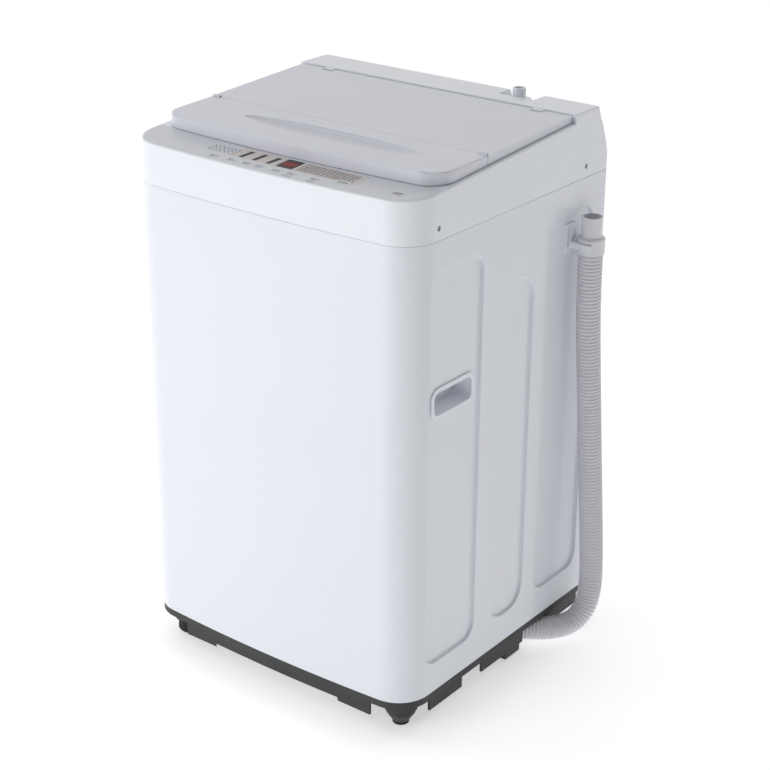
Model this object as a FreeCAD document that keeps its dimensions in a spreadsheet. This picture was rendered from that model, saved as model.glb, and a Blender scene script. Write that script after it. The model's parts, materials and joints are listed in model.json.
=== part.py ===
"""Top load washing machine: a parametric FreeCAD document, written as one STEP file per piece.

Millimetres. +X is the machine's right side seen from the front, +Y the back, +Z up.
The origin is on the floor, below the centre of the cabinet.
"""

import FreeCAD, Part
import math
import os

import Sketcher
from FreeCAD import Placement, Rotation, Vector

doc = FreeCAD.newDocument("WashingMachine")
sheet = doc.addObject("Spreadsheet::Sheet", "Sizes")
NODES = []


# ---------------------------------------------------------------- sizes

class Size:
    """A number together with the spreadsheet expression that yields it."""

    def __init__(self, value, text):
        self.value = float(value)
        self.text = text

    @staticmethod
    def of(item):
        """Turn a plain number into a Size; a Size stays as it is."""
        if isinstance(item, Size):
            return item
        return Size(item, "(%r)" % float(item))

    def joined(self, other, sign, value):
        """Two Sizes joined by an arithmetic sign."""
        return Size(value, "(%s %s %s)" % (self.text, sign, other.text))

    def __add__(self, other):
        other = Size.of(other)
        return self.joined(other, "+", self.value + other.value)

    def __sub__(self, other):
        other = Size.of(other)
        return self.joined(other, "-", self.value - other.value)

    def __mul__(self, other):
        other = Size.of(other)
        return self.joined(other, "*", self.value * other.value)

    def __truediv__(self, other):
        other = Size.of(other)
        return self.joined(other, "/", self.value / other.value)

    def __radd__(self, other):
        return Size.of(other) + self

    def __rsub__(self, other):
        return Size.of(other) - self

    def __rmul__(self, other):
        return Size.of(other) * self

    def __neg__(self):
        return Size(-self.value, "(0 - %s)" % self.text)


def root(item):
    """Square root of a Size."""
    return Size(math.sqrt(item.value), "sqrt(%s)" % item.text)


def size(alias, value):
    """Write one driving dimension into the spreadsheet and return it."""
    row = size.rows = getattr(size, "rows", 0) + 1
    sheet.set("A%d" % row, alias)
    sheet.set("B%d" % row, str(value))
    sheet.setAlias("B%d" % row, alias)
    return Size(value, "Sizes.%s" % alias)


# cabinet
BODY_WIDTH = size("body_width", 530.0)
BODY_DEPTH = size("body_depth", 513.0)
FRONT_BOW = size("front_bow", 6.9)
FRONT_CORNER = size("front_corner_radius", 55.0)
REAR_CORNER = size("rear_corner_radius", 12.0)
SHEET_WALL = size("sheet_wall", 1.2)
CABINET_BOTTOM = size("cabinet_bottom", 60.0)
SEAM_HEIGHT = size("seam_height", 784.0)
RECESS_DEPTH = size("recess_depth", 4.5)
RECESS_FRONT_Y = size("recess_front_y", -203.0)
RECESS_FRONT_WIDTH = size("recess_front_width", 127.0)
RECESS_MIDDLE_Y = size("recess_middle_y", -35.0)
RECESS_MIDDLE_WIDTH = size("recess_middle_width", 92.0)
RECESS_REAR_Y = size("recess_rear_y", 90.0)
RECESS_REAR_WIDTH = size("recess_rear_width", 126.0)
RECESS_BOTTOM = size("recess_bottom", 109.0)
RECESS_TOP = size("recess_top", 740.0)
RECESS_MIDDLE_TOP = size("recess_middle_top", 672.0)
RECESS_CORNER = size("recess_corner_radius", 28.0)
RECESS_MIDDLE_CORNER = size("recess_middle_corner_radius", 38.0)
GRIP_CENTRE_Y = size("grip_centre_y", -142.0)
GRIP_CENTRE_Z = size("grip_centre_z", 537.0)
GRIP_WIDTH = size("grip_width", 96.0)
GRIP_HEIGHT = size("grip_height", 40.0)
GRIP_CORNER = size("grip_corner_radius", 12.0)
GRIP_DEPTH = size("grip_depth", 32.0)
GRIP_RIM = size("grip_rim", 5.0)
GRIP_WALL = size("grip_wall", 2.5)
GRIP_PLATE_SIDE = size("grip_plate_side", 8.0)
GRIP_PLATE_ABOVE = size("grip_plate_above", 16.0)
BACK_BORDER = size("back_opening_border", 40.0)
BACK_OPENING_BOTTOM = size("back_opening_bottom", 92.0)
BACK_OPENING_TOP = size("back_opening_top", 700.0)
BACK_LAP = size("back_panel_lap", 14.0)
PANEL_SHEET = size("back_panel_sheet", 1.0)
FIT = size("hole_clearance", 0.1)
GAP = size("part_clearance", 0.4)

# top frame and lid
RIM_FRONT = size("rim_front_height", 848.0)
RIM_REAR = size("rim_rear_height", 875.0)
STEP_Y = size("deck_step_y", 153.0)
DECK_HEIGHT = size("deck_height", 888.0)
DECK_BACK = size("deck_back_y", 218.0)
BACK_CURVE = size("deck_back_curve_radius", 730.0)
FRAME_WALL = size("frame_wall", 2.5)
FRAME_PLATE = size("frame_plate", 4.0)
OPENING_RADIUS = size("opening_radius", 150.0)
OPENING_Y = size("opening_centre_y", -8.0)
SPLASH_WALL = size("splash_wall", 3.0)
SPLASH_BOTTOM = size("splash_bottom", 738.0)
FASCIA_MARGIN = size("fascia_margin", 3.0)
FASCIA_BACK = size("fascia_back_y", -177.0)
FASCIA_THICK = size("fascia_thickness", 2.0)
LID_SIDE = size("lid_side_inset", 6.0)
LID_FRONT = size("lid_front_y", -188.0)
LID_BACK = size("lid_back_y", 150.5)
LID_FOLD = size("lid_fold_y", -66.0)
LID_CORNER = size("lid_corner_radius", 38.0)
LID_GAP = size("lid_gap", 1.0)
LID_TOP_FRONT = size("lid_top_front", 872.5)
LID_TOP_FOLD = size("lid_top_fold", 876.0)
LID_TOP_REAR = size("lid_top_rear", 886.0)
LID_WALL = size("lid_wall", 2.5)
GROOVE_LENGTH = size("groove_length", 330.0)
GROOVE_WIDTH = size("groove_width", 42.0)
GROOVE_DEPTH = size("groove_depth", 8.0)
GROOVE_X = size("groove_centre_x", 20.0)
GROOVE_Y = size("groove_centre_y", -118.0)
HINGE_Y = size("hinge_y", 148.0)
HINGE_Z = size("hinge_height", 883.0)
HINGE_X = size("hinge_ear_x", 200.0)
HINGE_EAR = size("hinge_ear_width", 19.0)
HINGE_PIN = size("hinge_pin_radius", 2.5)
FOLD_PIN = size("fold_pin_radius", 1.5)
FOLD_BARREL = size("fold_barrel_radius", 3.0)
RUNNING = size("running_clearance", 0.06)

# tub, basket and drive
TUB_RADIUS = size("tub_radius", 222.0)
TUB_WALL = size("tub_wall", 2.5)
TUB_BOTTOM = size("tub_bottom", 200.0)
TUB_FLOOR = size("tub_floor", 6.0)
TUB_TOP = size("tub_top", 690.0)
HUB_RADIUS = size("hub_radius", 38.0)
HUB_DROP = size("hub_drop", 14.0)
COVER_HEIGHT = size("tub_cover_height", 32.0)
MOUTH_RADIUS = size("tub_mouth_radius", 170.0)
DRUM_RADIUS = size("drum_radius", 200.0)
DRUM_SHEET = size("drum_sheet", 0.8)
DRUM_BOTTOM = size("drum_bottom", 236.0)
DRUM_TOP = size("drum_top", 672.0)
BALANCE_HEIGHT = size("balance_ring_height", 28.0)
PULSATOR_RADIUS = size("pulsator_radius", 163.0)
PULSATOR_BOTTOM = size("pulsator_bottom", 246.0)
SPIN_SHAFT = size("spin_shaft_radius", 15.0)
WASH_SHAFT = size("wash_shaft_radius", 8.0)
BEARING_RADIUS = size("bearing_radius", 22.0)
BEARING_HEIGHT = size("bearing_height", 12.0)
PLATE_THICK = size("drive_plate_thickness", 4.0)
GEARCASE_RADIUS = size("gearcase_radius", 60.0)
GEARCASE_HEIGHT = size("gearcase_height", 74.0)
PULLEY_RADIUS = size("driven_pulley_radius", 70.0)
PULLEY_Z = size("pulley_bottom", 86.0)
PULLEY_HEIGHT = size("pulley_height", 12.0)
MOTOR_PULLEY = size("motor_pulley_radius", 23.0)
GROOVE_FLOOR = size("pulley_groove_depth", 8.0)
BELT_THICK = size("belt_thickness", 5.7)
BELT_CLEAR = size("belt_clearance", 0.3)
MOTOR_X = size("motor_distance", 125.0)
MOTOR_RADIUS = size("motor_radius", 46.0)
MOTOR_SHAFT = size("motor_shaft_radius", 6.0)
DRAIN_X = size("drain_x", 189.0)
DRAIN_Y = size("drain_y", 53.0)
DRAIN_RADIUS = size("drain_radius", 14.0)

# suspension
ROD_OFFSET = size("rod_offset", 205.0)
ROD_RADIUS = size("rod_radius", 3.0)
ROD_BOTTOM = size("rod_bottom", 292.0)
SEAT_HEIGHT = size("spring_seat_height", 306.0)
SPRING_LENGTH = size("spring_length", 64.0)
SPRING_RADIUS = size("spring_radius", 13.0)
SPRING_WIRE = size("spring_wire_radius", 1.8)
CUP_HEIGHT = size("cup_height", 16.0)
ARM_HEIGHT = size("arm_height", 20.0)
BRACKET_HEIGHT = size("bracket_height", 744.0)
BRACKET_SHEET = size("bracket_sheet", 3.0)
BALL_RADIUS = size("rod_ball_radius", 9.0)

# base and feet
BASE_BAND = size("base_band_bottom", 48.0)
SKIRT_INSET = size("skirt_inset", 10.0)
SKIRT_WALL = size("skirt_wall", 4.0)
SKIRT_BOTTOM = size("skirt_bottom", 18.0)
SKIRT_FRONT_BOTTOM = size("skirt_front_bottom", 27.0)
FOOT_X = size("foot_x", 220.0)
FOOT_FRONT_Y = size("foot_front_y", -201.0)
FOOT_REAR_Y = size("foot_rear_y", 212.0)
FOOT_RADIUS = size("foot_radius", 23.0)
FOOT_SOLE = size("foot_sole_radius", 13.0)
FOOT_HEIGHT = size("foot_height", 26.0)
SOLE_THICK = size("sole_thickness", 4.0)
STEM_RADIUS = size("foot_stem_radius", 5.0)

# hose
HOSE_RADIUS = size("hose_radius", 19.5)
CUFF_RADIUS = size("cuff_radius", 21.2)
SPOUT_RADIUS = size("spout_radius", 16.5)
SPOUT_BORE = size("spout_bore_radius", 13.5)
CUFF_LENGTH = size("cuff_length", 27.0)
SPOUT_LENGTH = size("spout_length", 32.0)
OUTLET_Z = size("outlet_height", 28.0)
OUTLET_RADIUS = size("outlet_radius", 17.0)

# water inlet
INLET_X = size("inlet_x", 128.0)
INLET_Y = size("inlet_y", 206.0)
INLET_RADIUS = size("inlet_radius", 10.4)
INLET_BORE = size("inlet_bore_radius", 6.5)
INLET_TOP = size("inlet_top", 897.0)
NOTCH_DEPTH = size("notch_depth", 12.0)

# the drain hose's route, from its cuff down to the floor and into the base
HOSE_ROUTE = [
    (288.0, 176.0, 672.0),
    (288.0, 176.0, 590.0),
    (292.0, 187.0, 440.0),
    (299.0, 197.0, 270.0),
    (304.0, 204.0, 150.0),
    (307.0, 203.0, 82.0),
    (303.0, 189.0, 42.0),
    (288.0, 165.0, 21.5),
    (264.0, 128.0, 24.0),
    (246.0, 110.0, 28.0),
    (234.0, 98.0, 28.0),
]


# ---------------------------------------------------------------- building blocks

def bind(item, prop, amount):
    """Bind a property to the expression of a Size, or set a plain number."""
    item.setExpression(prop, Size.of(amount).text)


def place(item, x=0, y=0, z=0, turn=None):
    """Give an object its place, with an optional fixed turn."""
    if turn:
        item.Placement = Placement(Vector(), turn)
    bind(item, "Placement.Base.x", x)
    bind(item, "Placement.Base.y", y)
    bind(item, "Placement.Base.z", z)
    return item


def block(name, low_x, high_x, low_y, high_y, low_z, high_z):
    """A box between two corners."""
    item = doc.addObject("Part::Box", name)
    bind(item, "Length", Size.of(high_x) - low_x)
    bind(item, "Width", Size.of(high_y) - low_y)
    bind(item, "Height", Size.of(high_z) - low_z)
    return place(item, low_x, low_y, low_z)


ALONG = {
    "x": Rotation(Vector(0, 1, 0), 90),
    "y": Rotation(Vector(1, 0, 0), -90),
    "z": None,
}


def rod(name, radius, length, x, y, z, along="z"):
    """A cylinder that starts at a point and runs along an axis."""
    item = doc.addObject("Part::Cylinder", name)
    bind(item, "Radius", radius)
    bind(item, "Height", length)
    return place(item, x, y, z, ALONG[along])


def ball(name, radius, x, y, z):
    """A sphere about a point."""
    item = doc.addObject("Part::Sphere", name)
    bind(item, "Radius", radius)
    return place(item, x, y, z)


def fuse(name, *items):
    """Join several objects into one solid."""
    item = doc.addObject("Part::MultiFuse", name)
    item.Shapes = list(items)
    return item


def common(name, *items):
    """The space that all the objects share."""
    item = doc.addObject("Part::MultiCommon", name)
    item.Shapes = list(items)
    return item


def cut(name, base, *tools):
    """Remove one or more tools from a base."""
    item = doc.addObject("Part::Cut", name)
    item.Base = base
    item.Tool = tools[0] if len(tools) == 1 else fuse(name + "_tools", *tools)
    return item


def group(name, items):
    """Several separate solids kept as one piece."""
    item = doc.addObject("Part::Compound", name)
    item.Links = list(items)
    return item


def node(item, name):
    """Name a finished sub-part; the name is its file's name."""
    item.Label = name
    NODES.append((name, item))
    return item


def plane_of(body, role):
    """One of a body's own origin planes."""
    for feature in body.Origin.OriginFeatures:
        if feature.Role == role:
            return feature
    raise ValueError(role)


def segment(start, end, radius):
    """The edge between two points: a line, or an arc when there is a radius."""
    if radius is None:
        return Part.LineSegment(start, end), (1, 2)
    chord = end - start
    rise = math.sqrt(max(radius ** 2 - (chord.Length / 2) ** 2, 0.0))
    left = Vector(-chord.y, chord.x, 0).normalize()
    centre = (start + end) * 0.5 + left * math.copysign(rise, radius)
    angles = [math.atan2(p.y - centre.y, p.x - centre.x) for p in (start, end)]
    circle = Part.Circle(centre, Vector(0, 0, 1), abs(radius))
    if radius > 0:
        return Part.ArcOfCircle(circle, angles[0], angles[1]), (1, 2)
    return Part.ArcOfCircle(circle, angles[1], angles[0]), (2, 1)


def draw(sketch, path):
    """Draw a closed outline and bind every corner and radius to the spreadsheet.

    Each corner is (x, y) or (x, y, radius). A radius makes the edge that leaves the corner an
    arc: a positive one turns left, a negative one turns right.
    """
    corners = [[Size.of(number) for number in corner] for corner in path]
    edges = []
    for corner, following in zip(corners, corners[1:] + corners[:1]):
        start, end = (Vector(p[0].value, p[1].value, 0) for p in (corner, following))
        radius = corner[2].value if len(corner) == 3 else None
        edge, ends = segment(start, end, radius)
        edges.append((sketch.addGeometry(edge, False), ends))
    for (edge, ends), (following, next_ends) in zip(edges, edges[1:] + edges[:1]):
        sketch.addConstraint(Sketcher.Constraint("Coincident", edge, ends[1], following, next_ends[0]))
    for (edge, ends), corner in zip(edges, corners):
        for kind, amount in (("DistanceX", corner[0]), ("DistanceY", corner[1])):
            number = sketch.addConstraint(Sketcher.Constraint(kind, edge, ends[0], amount.value))
            sketch.setExpression("Constraints[%d]" % number, amount.text)
        if len(corner) == 3:
            radius = corner[2] if corner[2].value > 0 else -corner[2]
            number = sketch.addConstraint(Sketcher.Constraint("Radius", edge, radius.value))
            sketch.setExpression("Constraints[%d]" % number, radius.text)


def sketch_on(body, role, path, offset=0):
    """A closed sketch on one of a body's own planes, moved along the plane's normal."""
    sketch = body.newObject("Sketcher::SketchObject", body.Name + "_sketch")
    sketch.AttachmentSupport = [(plane_of(body, role), "")]
    sketch.MapMode = "FlatFace"
    bind(sketch, "AttachmentOffset.Base.z", offset)
    draw(sketch, path)
    return sketch


def prism(name, path, low_z, high_z):
    """A plan outline padded upwards between two heights."""
    body = doc.addObject("PartDesign::Body", name)
    pad = body.newObject("PartDesign::Pad", name + "_pad")
    pad.Profile = sketch_on(body, "XY_Plane", path, low_z)
    bind(pad, "Length", Size.of(high_z) - low_z)
    body.Tip = pad
    return body


def side_prism(name, path, width):
    """A side outline of (y, z) points, padded evenly to both sides of the middle."""
    body = doc.addObject("PartDesign::Body", name)
    pad = body.newObject("PartDesign::Pad", name + "_pad")
    pad.Profile = sketch_on(body, "YZ_Plane", path)
    pad.Midplane = True
    bind(pad, "Length", width)
    body.Tip = pad
    return body


def side_slab(name, path, low_x, high_x):
    """A side outline of (y, z) points, padded between two places across the machine."""
    body = doc.addObject("PartDesign::Body", name)
    pad = body.newObject("PartDesign::Pad", name + "_pad")
    pad.Profile = sketch_on(body, "YZ_Plane", path, low_x)
    bind(pad, "Length", Size.of(high_x) - low_x)
    body.Tip = pad
    return body


def turned(name, path, x=0, y=0):
    """A profile of (radius, z) points turned round a vertical axis."""
    body = doc.addObject("PartDesign::Body", name)
    sketch = sketch_on(body, "XZ_Plane", path)
    turn = body.newObject("PartDesign::Revolution", name + "_turn")
    turn.Profile = sketch
    turn.ReferenceAxis = (sketch, ["V_Axis"])
    turn.Angle = 360.0
    body.Tip = turn
    return place(body, x, y)


def ring(name, inner, outer, low_z, high_z, x=0, y=0):
    """A plain ring or tube about a vertical axis."""
    return turned(name, [(inner, low_z), (outer, low_z), (outer, high_z), (inner, high_z)], x, y)


def rounded(low_x, high_x, low_y, high_y, radius):
    """A rectangle with four round corners, anticlockwise."""
    low_x, high_x, low_y, high_y = (Size.of(v) for v in (low_x, high_x, low_y, high_y))
    return [
        (low_x + radius, low_y),
        (high_x - radius, low_y, radius),
        (high_x, low_y + radius),
        (high_x, high_y - radius, radius),
        (high_x - radius, high_y),
        (low_x + radius, high_y, radius),
        (low_x, high_y - radius),
        (low_x, low_y + radius, radius),
    ]


def bowed(half, front, back, corner, bow, inset=0, rear=None):
    """A plan outline with a gently bowed front and round front corners, anticlockwise.

    Every edge lies inset inside the named size. Without a rear radius the back corners are square.
    """
    reach = half - corner
    bow_radius = (reach * reach + bow * bow) / (2 * bow)
    bow_y = front + bow_radius
    corner_y = bow_y - root((bow_radius - corner) * (bow_radius - corner) - reach * reach)
    share = (bow_radius - inset) / (bow_radius - corner)
    touch_x = reach * share
    touch_y = bow_y + (corner_y - bow_y) * share
    side = half - inset
    path = [(-touch_x, touch_y, bow_radius - inset), (touch_x, touch_y, corner - inset), (side, corner_y)]
    if rear is None:
        path += [(side, back - inset), (-side, back - inset)]
    else:
        path += [
            (side, back - rear, rear - inset),
            (half - rear, back - inset),
            (rear - half, back - inset, rear - inset),
            (-side, back - rear),
        ]
    return path + [(-side, corner_y, corner - inset)]


HALF = BODY_WIDTH / 2
FRONT = 0 - BODY_DEPTH / 2
BACK = BODY_DEPTH / 2
INNER_SIDE = HALF - SHEET_WALL
INNER_BACK = BACK - SHEET_WALL
REAR_SOFT = REAR_CORNER + 30


def outline(inset=0, rear=REAR_CORNER):
    """The cabinet's plan outline, moved inwards by the inset."""
    return bowed(HALF, FRONT, BACK, FRONT_CORNER, FRONT_BOW, inset, rear)


def rim(y, rise=0):
    """Height of the sloping rim at a place along the machine's depth."""
    return RIM_FRONT + (Size.of(y) - FRONT) * (RIM_REAR - RIM_FRONT) / (STEP_Y - FRONT) + rise


def rim_band(name, front, back, low, high, width):
    """A slab that follows the rim's slope, between two offsets from the rim."""
    path = [(front, rim(front, low)), (back, rim(back, low)), (back, rim(back, high)), (front, rim(front, high))]
    return side_prism(name, path, width)


# ---------------------------------------------------------------- cabinet

RECESSES = [
    (RECESS_FRONT_Y, RECESS_FRONT_WIDTH, RECESS_TOP, RECESS_CORNER),
    (RECESS_MIDDLE_Y, RECESS_MIDDLE_WIDTH, RECESS_MIDDLE_TOP, RECESS_MIDDLE_CORNER),
    (RECESS_REAR_Y, RECESS_REAR_WIDTH, RECESS_TOP, RECESS_CORNER),
]
RECESS_FLOOR = HALF - RECESS_DEPTH
SCREW_HEIGHT = SEAM_HEIGHT + 18
SCREW_PLACES = [-188.0, 188.0]
BACK_SCREWS = [(side, z) for side in (-1, 1) for z in (110.0, 300.0, 490.0, 682.0)]
BACK_SCREW_X = HALF - BACK_BORDER + BACK_LAP / 2
SHEET_SCREW = 1.9


def recess_path(recess, grow):
    """The outline of one pressed recess in the side, grown by a margin."""
    y, width, top, corner = recess
    return rounded(y - grow, y + width + grow, RECESS_BOTTOM - grow, top + grow, corner + grow)


def grip_path(grow):
    """The outline of the hand grip, grown by a margin."""
    across, up = GRIP_WIDTH / 2 + grow, GRIP_HEIGHT / 2 + grow
    return rounded(
        GRIP_CENTRE_Y - across, GRIP_CENTRE_Y + across, GRIP_CENTRE_Z - up, GRIP_CENTRE_Z + up, GRIP_CORNER + grow
    )


def grip_plate(name, side, low_x, high_x):
    """The rectangular plate that holds one hand grip, between two depths in the side wall."""
    across = GRIP_WIDTH / 2 + GRIP_PLATE_SIDE
    up = GRIP_HEIGHT / 2 + GRIP_PLATE_ABOVE
    start, end = (low_x, high_x) if side > 0 else (-high_x, -low_x)
    return block(
        name, start, end, GRIP_CENTRE_Y - across, GRIP_CENTRE_Y + across, GRIP_CENTRE_Z - up, GRIP_CENTRE_Z + up
    )


def both_sides(name, path, low_x, high_x):
    """A side slab on the right and its twin on the left."""
    return [side_slab(name + "_right", path, low_x, high_x), side_slab(name + "_left", path, -high_x, -low_x)]


def cabinet():
    """The wrapped steel cabinet, its hand grips and its back panel."""
    skin = cut(
        "cabinet_tube",
        prism("cabinet_outer", outline(), CABINET_BOTTOM, SEAM_HEIGHT),
        prism("cabinet_inner", outline(SHEET_WALL), CABINET_BOTTOM - 5, SEAM_HEIGHT + 5),
    )
    backs, hollows = [], []
    for number, recess in enumerate(RECESSES):
        low, high = RECESS_FLOOR - SHEET_WALL, HALF - SHEET_WALL * 2 / 3
        backs += both_sides("recess_back_%d" % number, recess_path(recess, SHEET_WALL), low, high)
        hollows += both_sides("recess_%d" % number, recess_path(recess, 0), RECESS_FLOOR, HALF + 5)
    border = HALF - BACK_BORDER
    window = block(
        "back_window", -border, border, INNER_BACK - 2, BACK + 2, BACK_OPENING_BOTTOM, BACK_OPENING_TOP
    )
    grips = [grip_plate("grip_window", side, HALF - 20, HALF + 5) for side in (1, -1)]
    holes = [back_screw_hole("back_hole", side, z) for side, z in BACK_SCREWS]
    shell = cut("cabinet_shell_cut", fuse("cabinet_pressed", skin, *backs), window, *hollows, *grips, *holes)
    node(shell, "cabinet_shell")

    plates = []
    for side, hole in zip((1, -1), both_sides("grip_hole", grip_path(0), HALF - 40, HALF + 5)):
        sheet = grip_plate("grip_sheet", side, RECESS_FLOOR - SHEET_WALL, RECESS_FLOOR)
        plates.append(cut("grip_plate", sheet, hole))
    node(group("grip_plate_pair", plates), "grip_plates")

    cups = []
    for side in (1, -1):
        depth = RECESS_FLOOR - GRIP_DEPTH
        spans = [
            ("grip_flange", grip_path(GRIP_RIM), RECESS_FLOOR, RECESS_FLOOR + 2.5),
            ("grip_cup", grip_path(-FIT), depth, RECESS_FLOOR + 1),
            ("grip_hollow", grip_path(-GRIP_WALL), depth + GRIP_WALL, RECESS_FLOOR + 6),
        ]
        flange, cup, hollow = (
            side_slab(name, path, low, high) if side > 0 else side_slab(name, path, -high, -low)
            for name, path, low, high in spans
        )
        cups.append(cut("grip", fuse("grip_solid", flange, cup), hollow))
    node(group("grips", cups), "side_grips")

    lap = border + BACK_LAP
    plate = block(
        "back_plate",
        -lap,
        lap,
        INNER_BACK - PANEL_SHEET,
        INNER_BACK,
        BACK_OPENING_BOTTOM - BACK_LAP,
        BACK_OPENING_TOP + BACK_LAP,
    )
    ribs = []
    for z in (220.0, 396.0, 572.0):
        ribs.append(block("back_rib", -(border - 40), border - 40, INNER_BACK - 1, BACK, z - 12, z + 12))
    gland_hole = rod("gland_hole", GLAND_RADIUS + FIT, 10, GLAND_X, INNER_BACK - 5, GLAND_Z, "y")
    holes = [back_screw_hole("panel_hole", side, z) for side, z in BACK_SCREWS]
    node(cut("back_panel_cut", fuse("back_panel_solid", plate, *ribs), gland_hole, *holes), "rear_panel")

    body = rod("gland_body", GLAND_RADIUS, 12, GLAND_X, INNER_BACK - 8, GLAND_Z, "y")
    collar = rod("gland_collar", GLAND_RADIUS + 3, 4, GLAND_X, INNER_BACK, GLAND_Z, "y")
    bore = rod("gland_bore", GLAND_BORE, 30, GLAND_X, INNER_BACK - 12, GLAND_Z, "y")
    node(cut("gland", fuse("gland_solid", body, collar), bore), "cord_gland")

    screws = []
    for side, z in BACK_SCREWS:
        shank = rod("back_shank", SHEET_SCREW, 9, BACK_SCREW_X * side, BACK - 8, z, "y")
        head = rod("back_head", 4, 2.2, BACK_SCREW_X * side, BACK, z, "y")
        screws.append(fuse("back_screw", shank, head))
    for side in (-1, 1):
        for y in SCREW_PLACES:
            head_x = HALF - 4 if side > 0 else 1.6 - HALF
            shank_x = HALF - 13 if side > 0 else 3 - HALF
            head = rod("frame_head", 3.7, 2.4, head_x, y, SCREW_HEIGHT, "x")
            shank = rod("frame_shank", SHEET_SCREW, 10, shank_x, y, SCREW_HEIGHT, "x")
            screws.append(fuse("frame_screw", head, shank))
    node(group("screw_set", screws), "cabinet_screws")


GLAND_RADIUS = 8.0
GLAND_BORE = 3.6
GLAND_X = -150.0
GLAND_Z = 140.0


def back_screw_hole(name, side, z):
    """The hole of one back panel screw."""
    return rod(name, SHEET_SCREW + FIT, 12, BACK_SCREW_X * side, BACK - 8, z, "y")


# ---------------------------------------------------------------- base and feet

FEET = [
    ("front_left_foot", -FOOT_X, FOOT_FRONT_Y),
    ("rear_left_foot", -FOOT_X, FOOT_REAR_Y),
    ("rear_right_foot", FOOT_X, FOOT_REAR_Y),
]
SKIRT_END = -190.0
SIDE_START = -174.0
BAND_WIDTH = 22.0
UPSTAND = 16.0


def base():
    """The plastic base frame that the cabinet and the feet fasten to."""
    band = cut(
        "band",
        prism("band_outer", outline(0.3), BASE_BAND, CABINET_BOTTOM),
        prism("band_inner", outline(BAND_WIDTH, REAR_SOFT), BASE_BAND - 5, CABINET_BOTTOM + 5),
    )
    inside = SHEET_WALL + GAP
    upstand = cut(
        "upstand",
        prism("upstand_outer", outline(inside), CABINET_BOTTOM - 1, CABINET_BOTTOM + UPSTAND),
        prism("upstand_inner", outline(inside + 3), CABINET_BOTTOM - 5, CABINET_BOTTOM + 20),
    )
    skirt = cut(
        "skirt",
        prism("skirt_outer", outline(SKIRT_INSET), SKIRT_BOTTOM, BASE_BAND + 1),
        prism("skirt_inner", outline(SKIRT_INSET + SKIRT_WALL, REAR_SOFT), SKIRT_BOTTOM - 5, BASE_BAND + 5),
    )
    bosses = []
    for name, x, y in FEET + [("front_right_foot", FOOT_X, FOOT_FRONT_Y)]:
        bosses.append(rod(name + "_boss", FOOT_RADIUS + 3, CABINET_BOTTOM - FOOT_HEIGHT, x, y, FOOT_HEIGHT))
    shelf = block(
        "outlet_shelf",
        DRAIN_X - OUTLET_RADIUS,
        HALF - SKIRT_INSET,
        DRAIN_Y - 20,
        DRAIN_Y + 20,
        OUTLET_Z - OUTLET_RADIUS - 4,
        OUTLET_Z - OUTLET_RADIUS - FIT,
    )
    side = HALF - SKIRT_INSET
    shelf_end = block(
        "shelf_end", side - SKIRT_WALL, side, DRAIN_Y - 20, DRAIN_Y + 20, OUTLET_Z - OUTLET_RADIUS - 4, BASE_BAND
    )
    solid = fuse("base_solid", band, upstand, skirt, *bosses, shelf, shelf_end)
    tools = [
        block("front_lower", SKIRT_END, -SKIRT_END, FRONT - 5, -240, 0, SKIRT_FRONT_BOTTOM),
        block("notch_right", HALF - 30, HALF + 5, -89, -35, 0, BASE_BAND - 12),
        block("notch_left", -HALF - 5, -HALF + 30, -89, -35, 0, BASE_BAND - 12),
        block("hose_gate", side - 20, side + 5, 82, 152, -5, BASE_BAND),
    ]
    for sign in (-1, 1):
        low, high = (-SKIRT_END, HALF + 5) if sign > 0 else (-HALF - 5, SKIRT_END)
        corner = block("corner_gap", low, high, FRONT - 5, SIDE_START, 0, BASE_BAND)
        keep = rod("corner_boss", FOOT_RADIUS + 3, BASE_BAND, FOOT_X * sign, FOOT_FRONT_Y, 0)
        tools.append(cut("corner_notch", corner, keep))
    stem_hole = rod("stem_hole", STEM_RADIUS + RUNNING, 60, FOOT_X, FOOT_FRONT_Y, 10)
    node(cut("base_cut", solid, *tools, stem_hole), "base_frame")

    feet = []
    for name, x, y in FEET:
        profile = [(0, 0), (FOOT_SOLE + 4, 0), (FOOT_RADIUS - 2, 5), (FOOT_RADIUS - 3, FOOT_HEIGHT), (0, FOOT_HEIGHT)]
        feet.append(turned(name, profile, x, y))
    node(group("feet", feet), "fixed_feet")

    sole = turned("sole", [(0, 0), (FOOT_SOLE, 0), (FOOT_SOLE, SOLE_THICK), (0, SOLE_THICK)], FOOT_X, FOOT_FRONT_Y)
    node(sole, "foot_pad")
    knob_low = SOLE_THICK + RUNNING
    profile = [
        (0, knob_low),
        (FOOT_SOLE, knob_low),
        (FOOT_RADIUS, FOOT_HEIGHT - 6),
        (FOOT_RADIUS, FOOT_HEIGHT - 1),
        (STEM_RADIUS, FOOT_HEIGHT - 1),
        (STEM_RADIUS, CABINET_BOTTOM - 2),
        (0, CABINET_BOTTOM - 2),
    ]
    knob = turned("knob", profile, FOOT_X, FOOT_FRONT_Y)
    flutes = []
    for number in range(FLUTES):
        angle = 2 * math.pi * number / FLUTES
        x = FOOT_X + (FOOT_RADIUS + 1.5) * math.cos(angle)
        y = FOOT_FRONT_Y + (FOOT_RADIUS + 1.5) * math.sin(angle)
        flutes.append(rod("flute", 3, FOOT_HEIGHT, x, y, 0))
    node(cut("knob_cut", knob, *flutes), "foot_knob")


FLUTES = 12


# ---------------------------------------------------------------- top frame and its fittings

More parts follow.
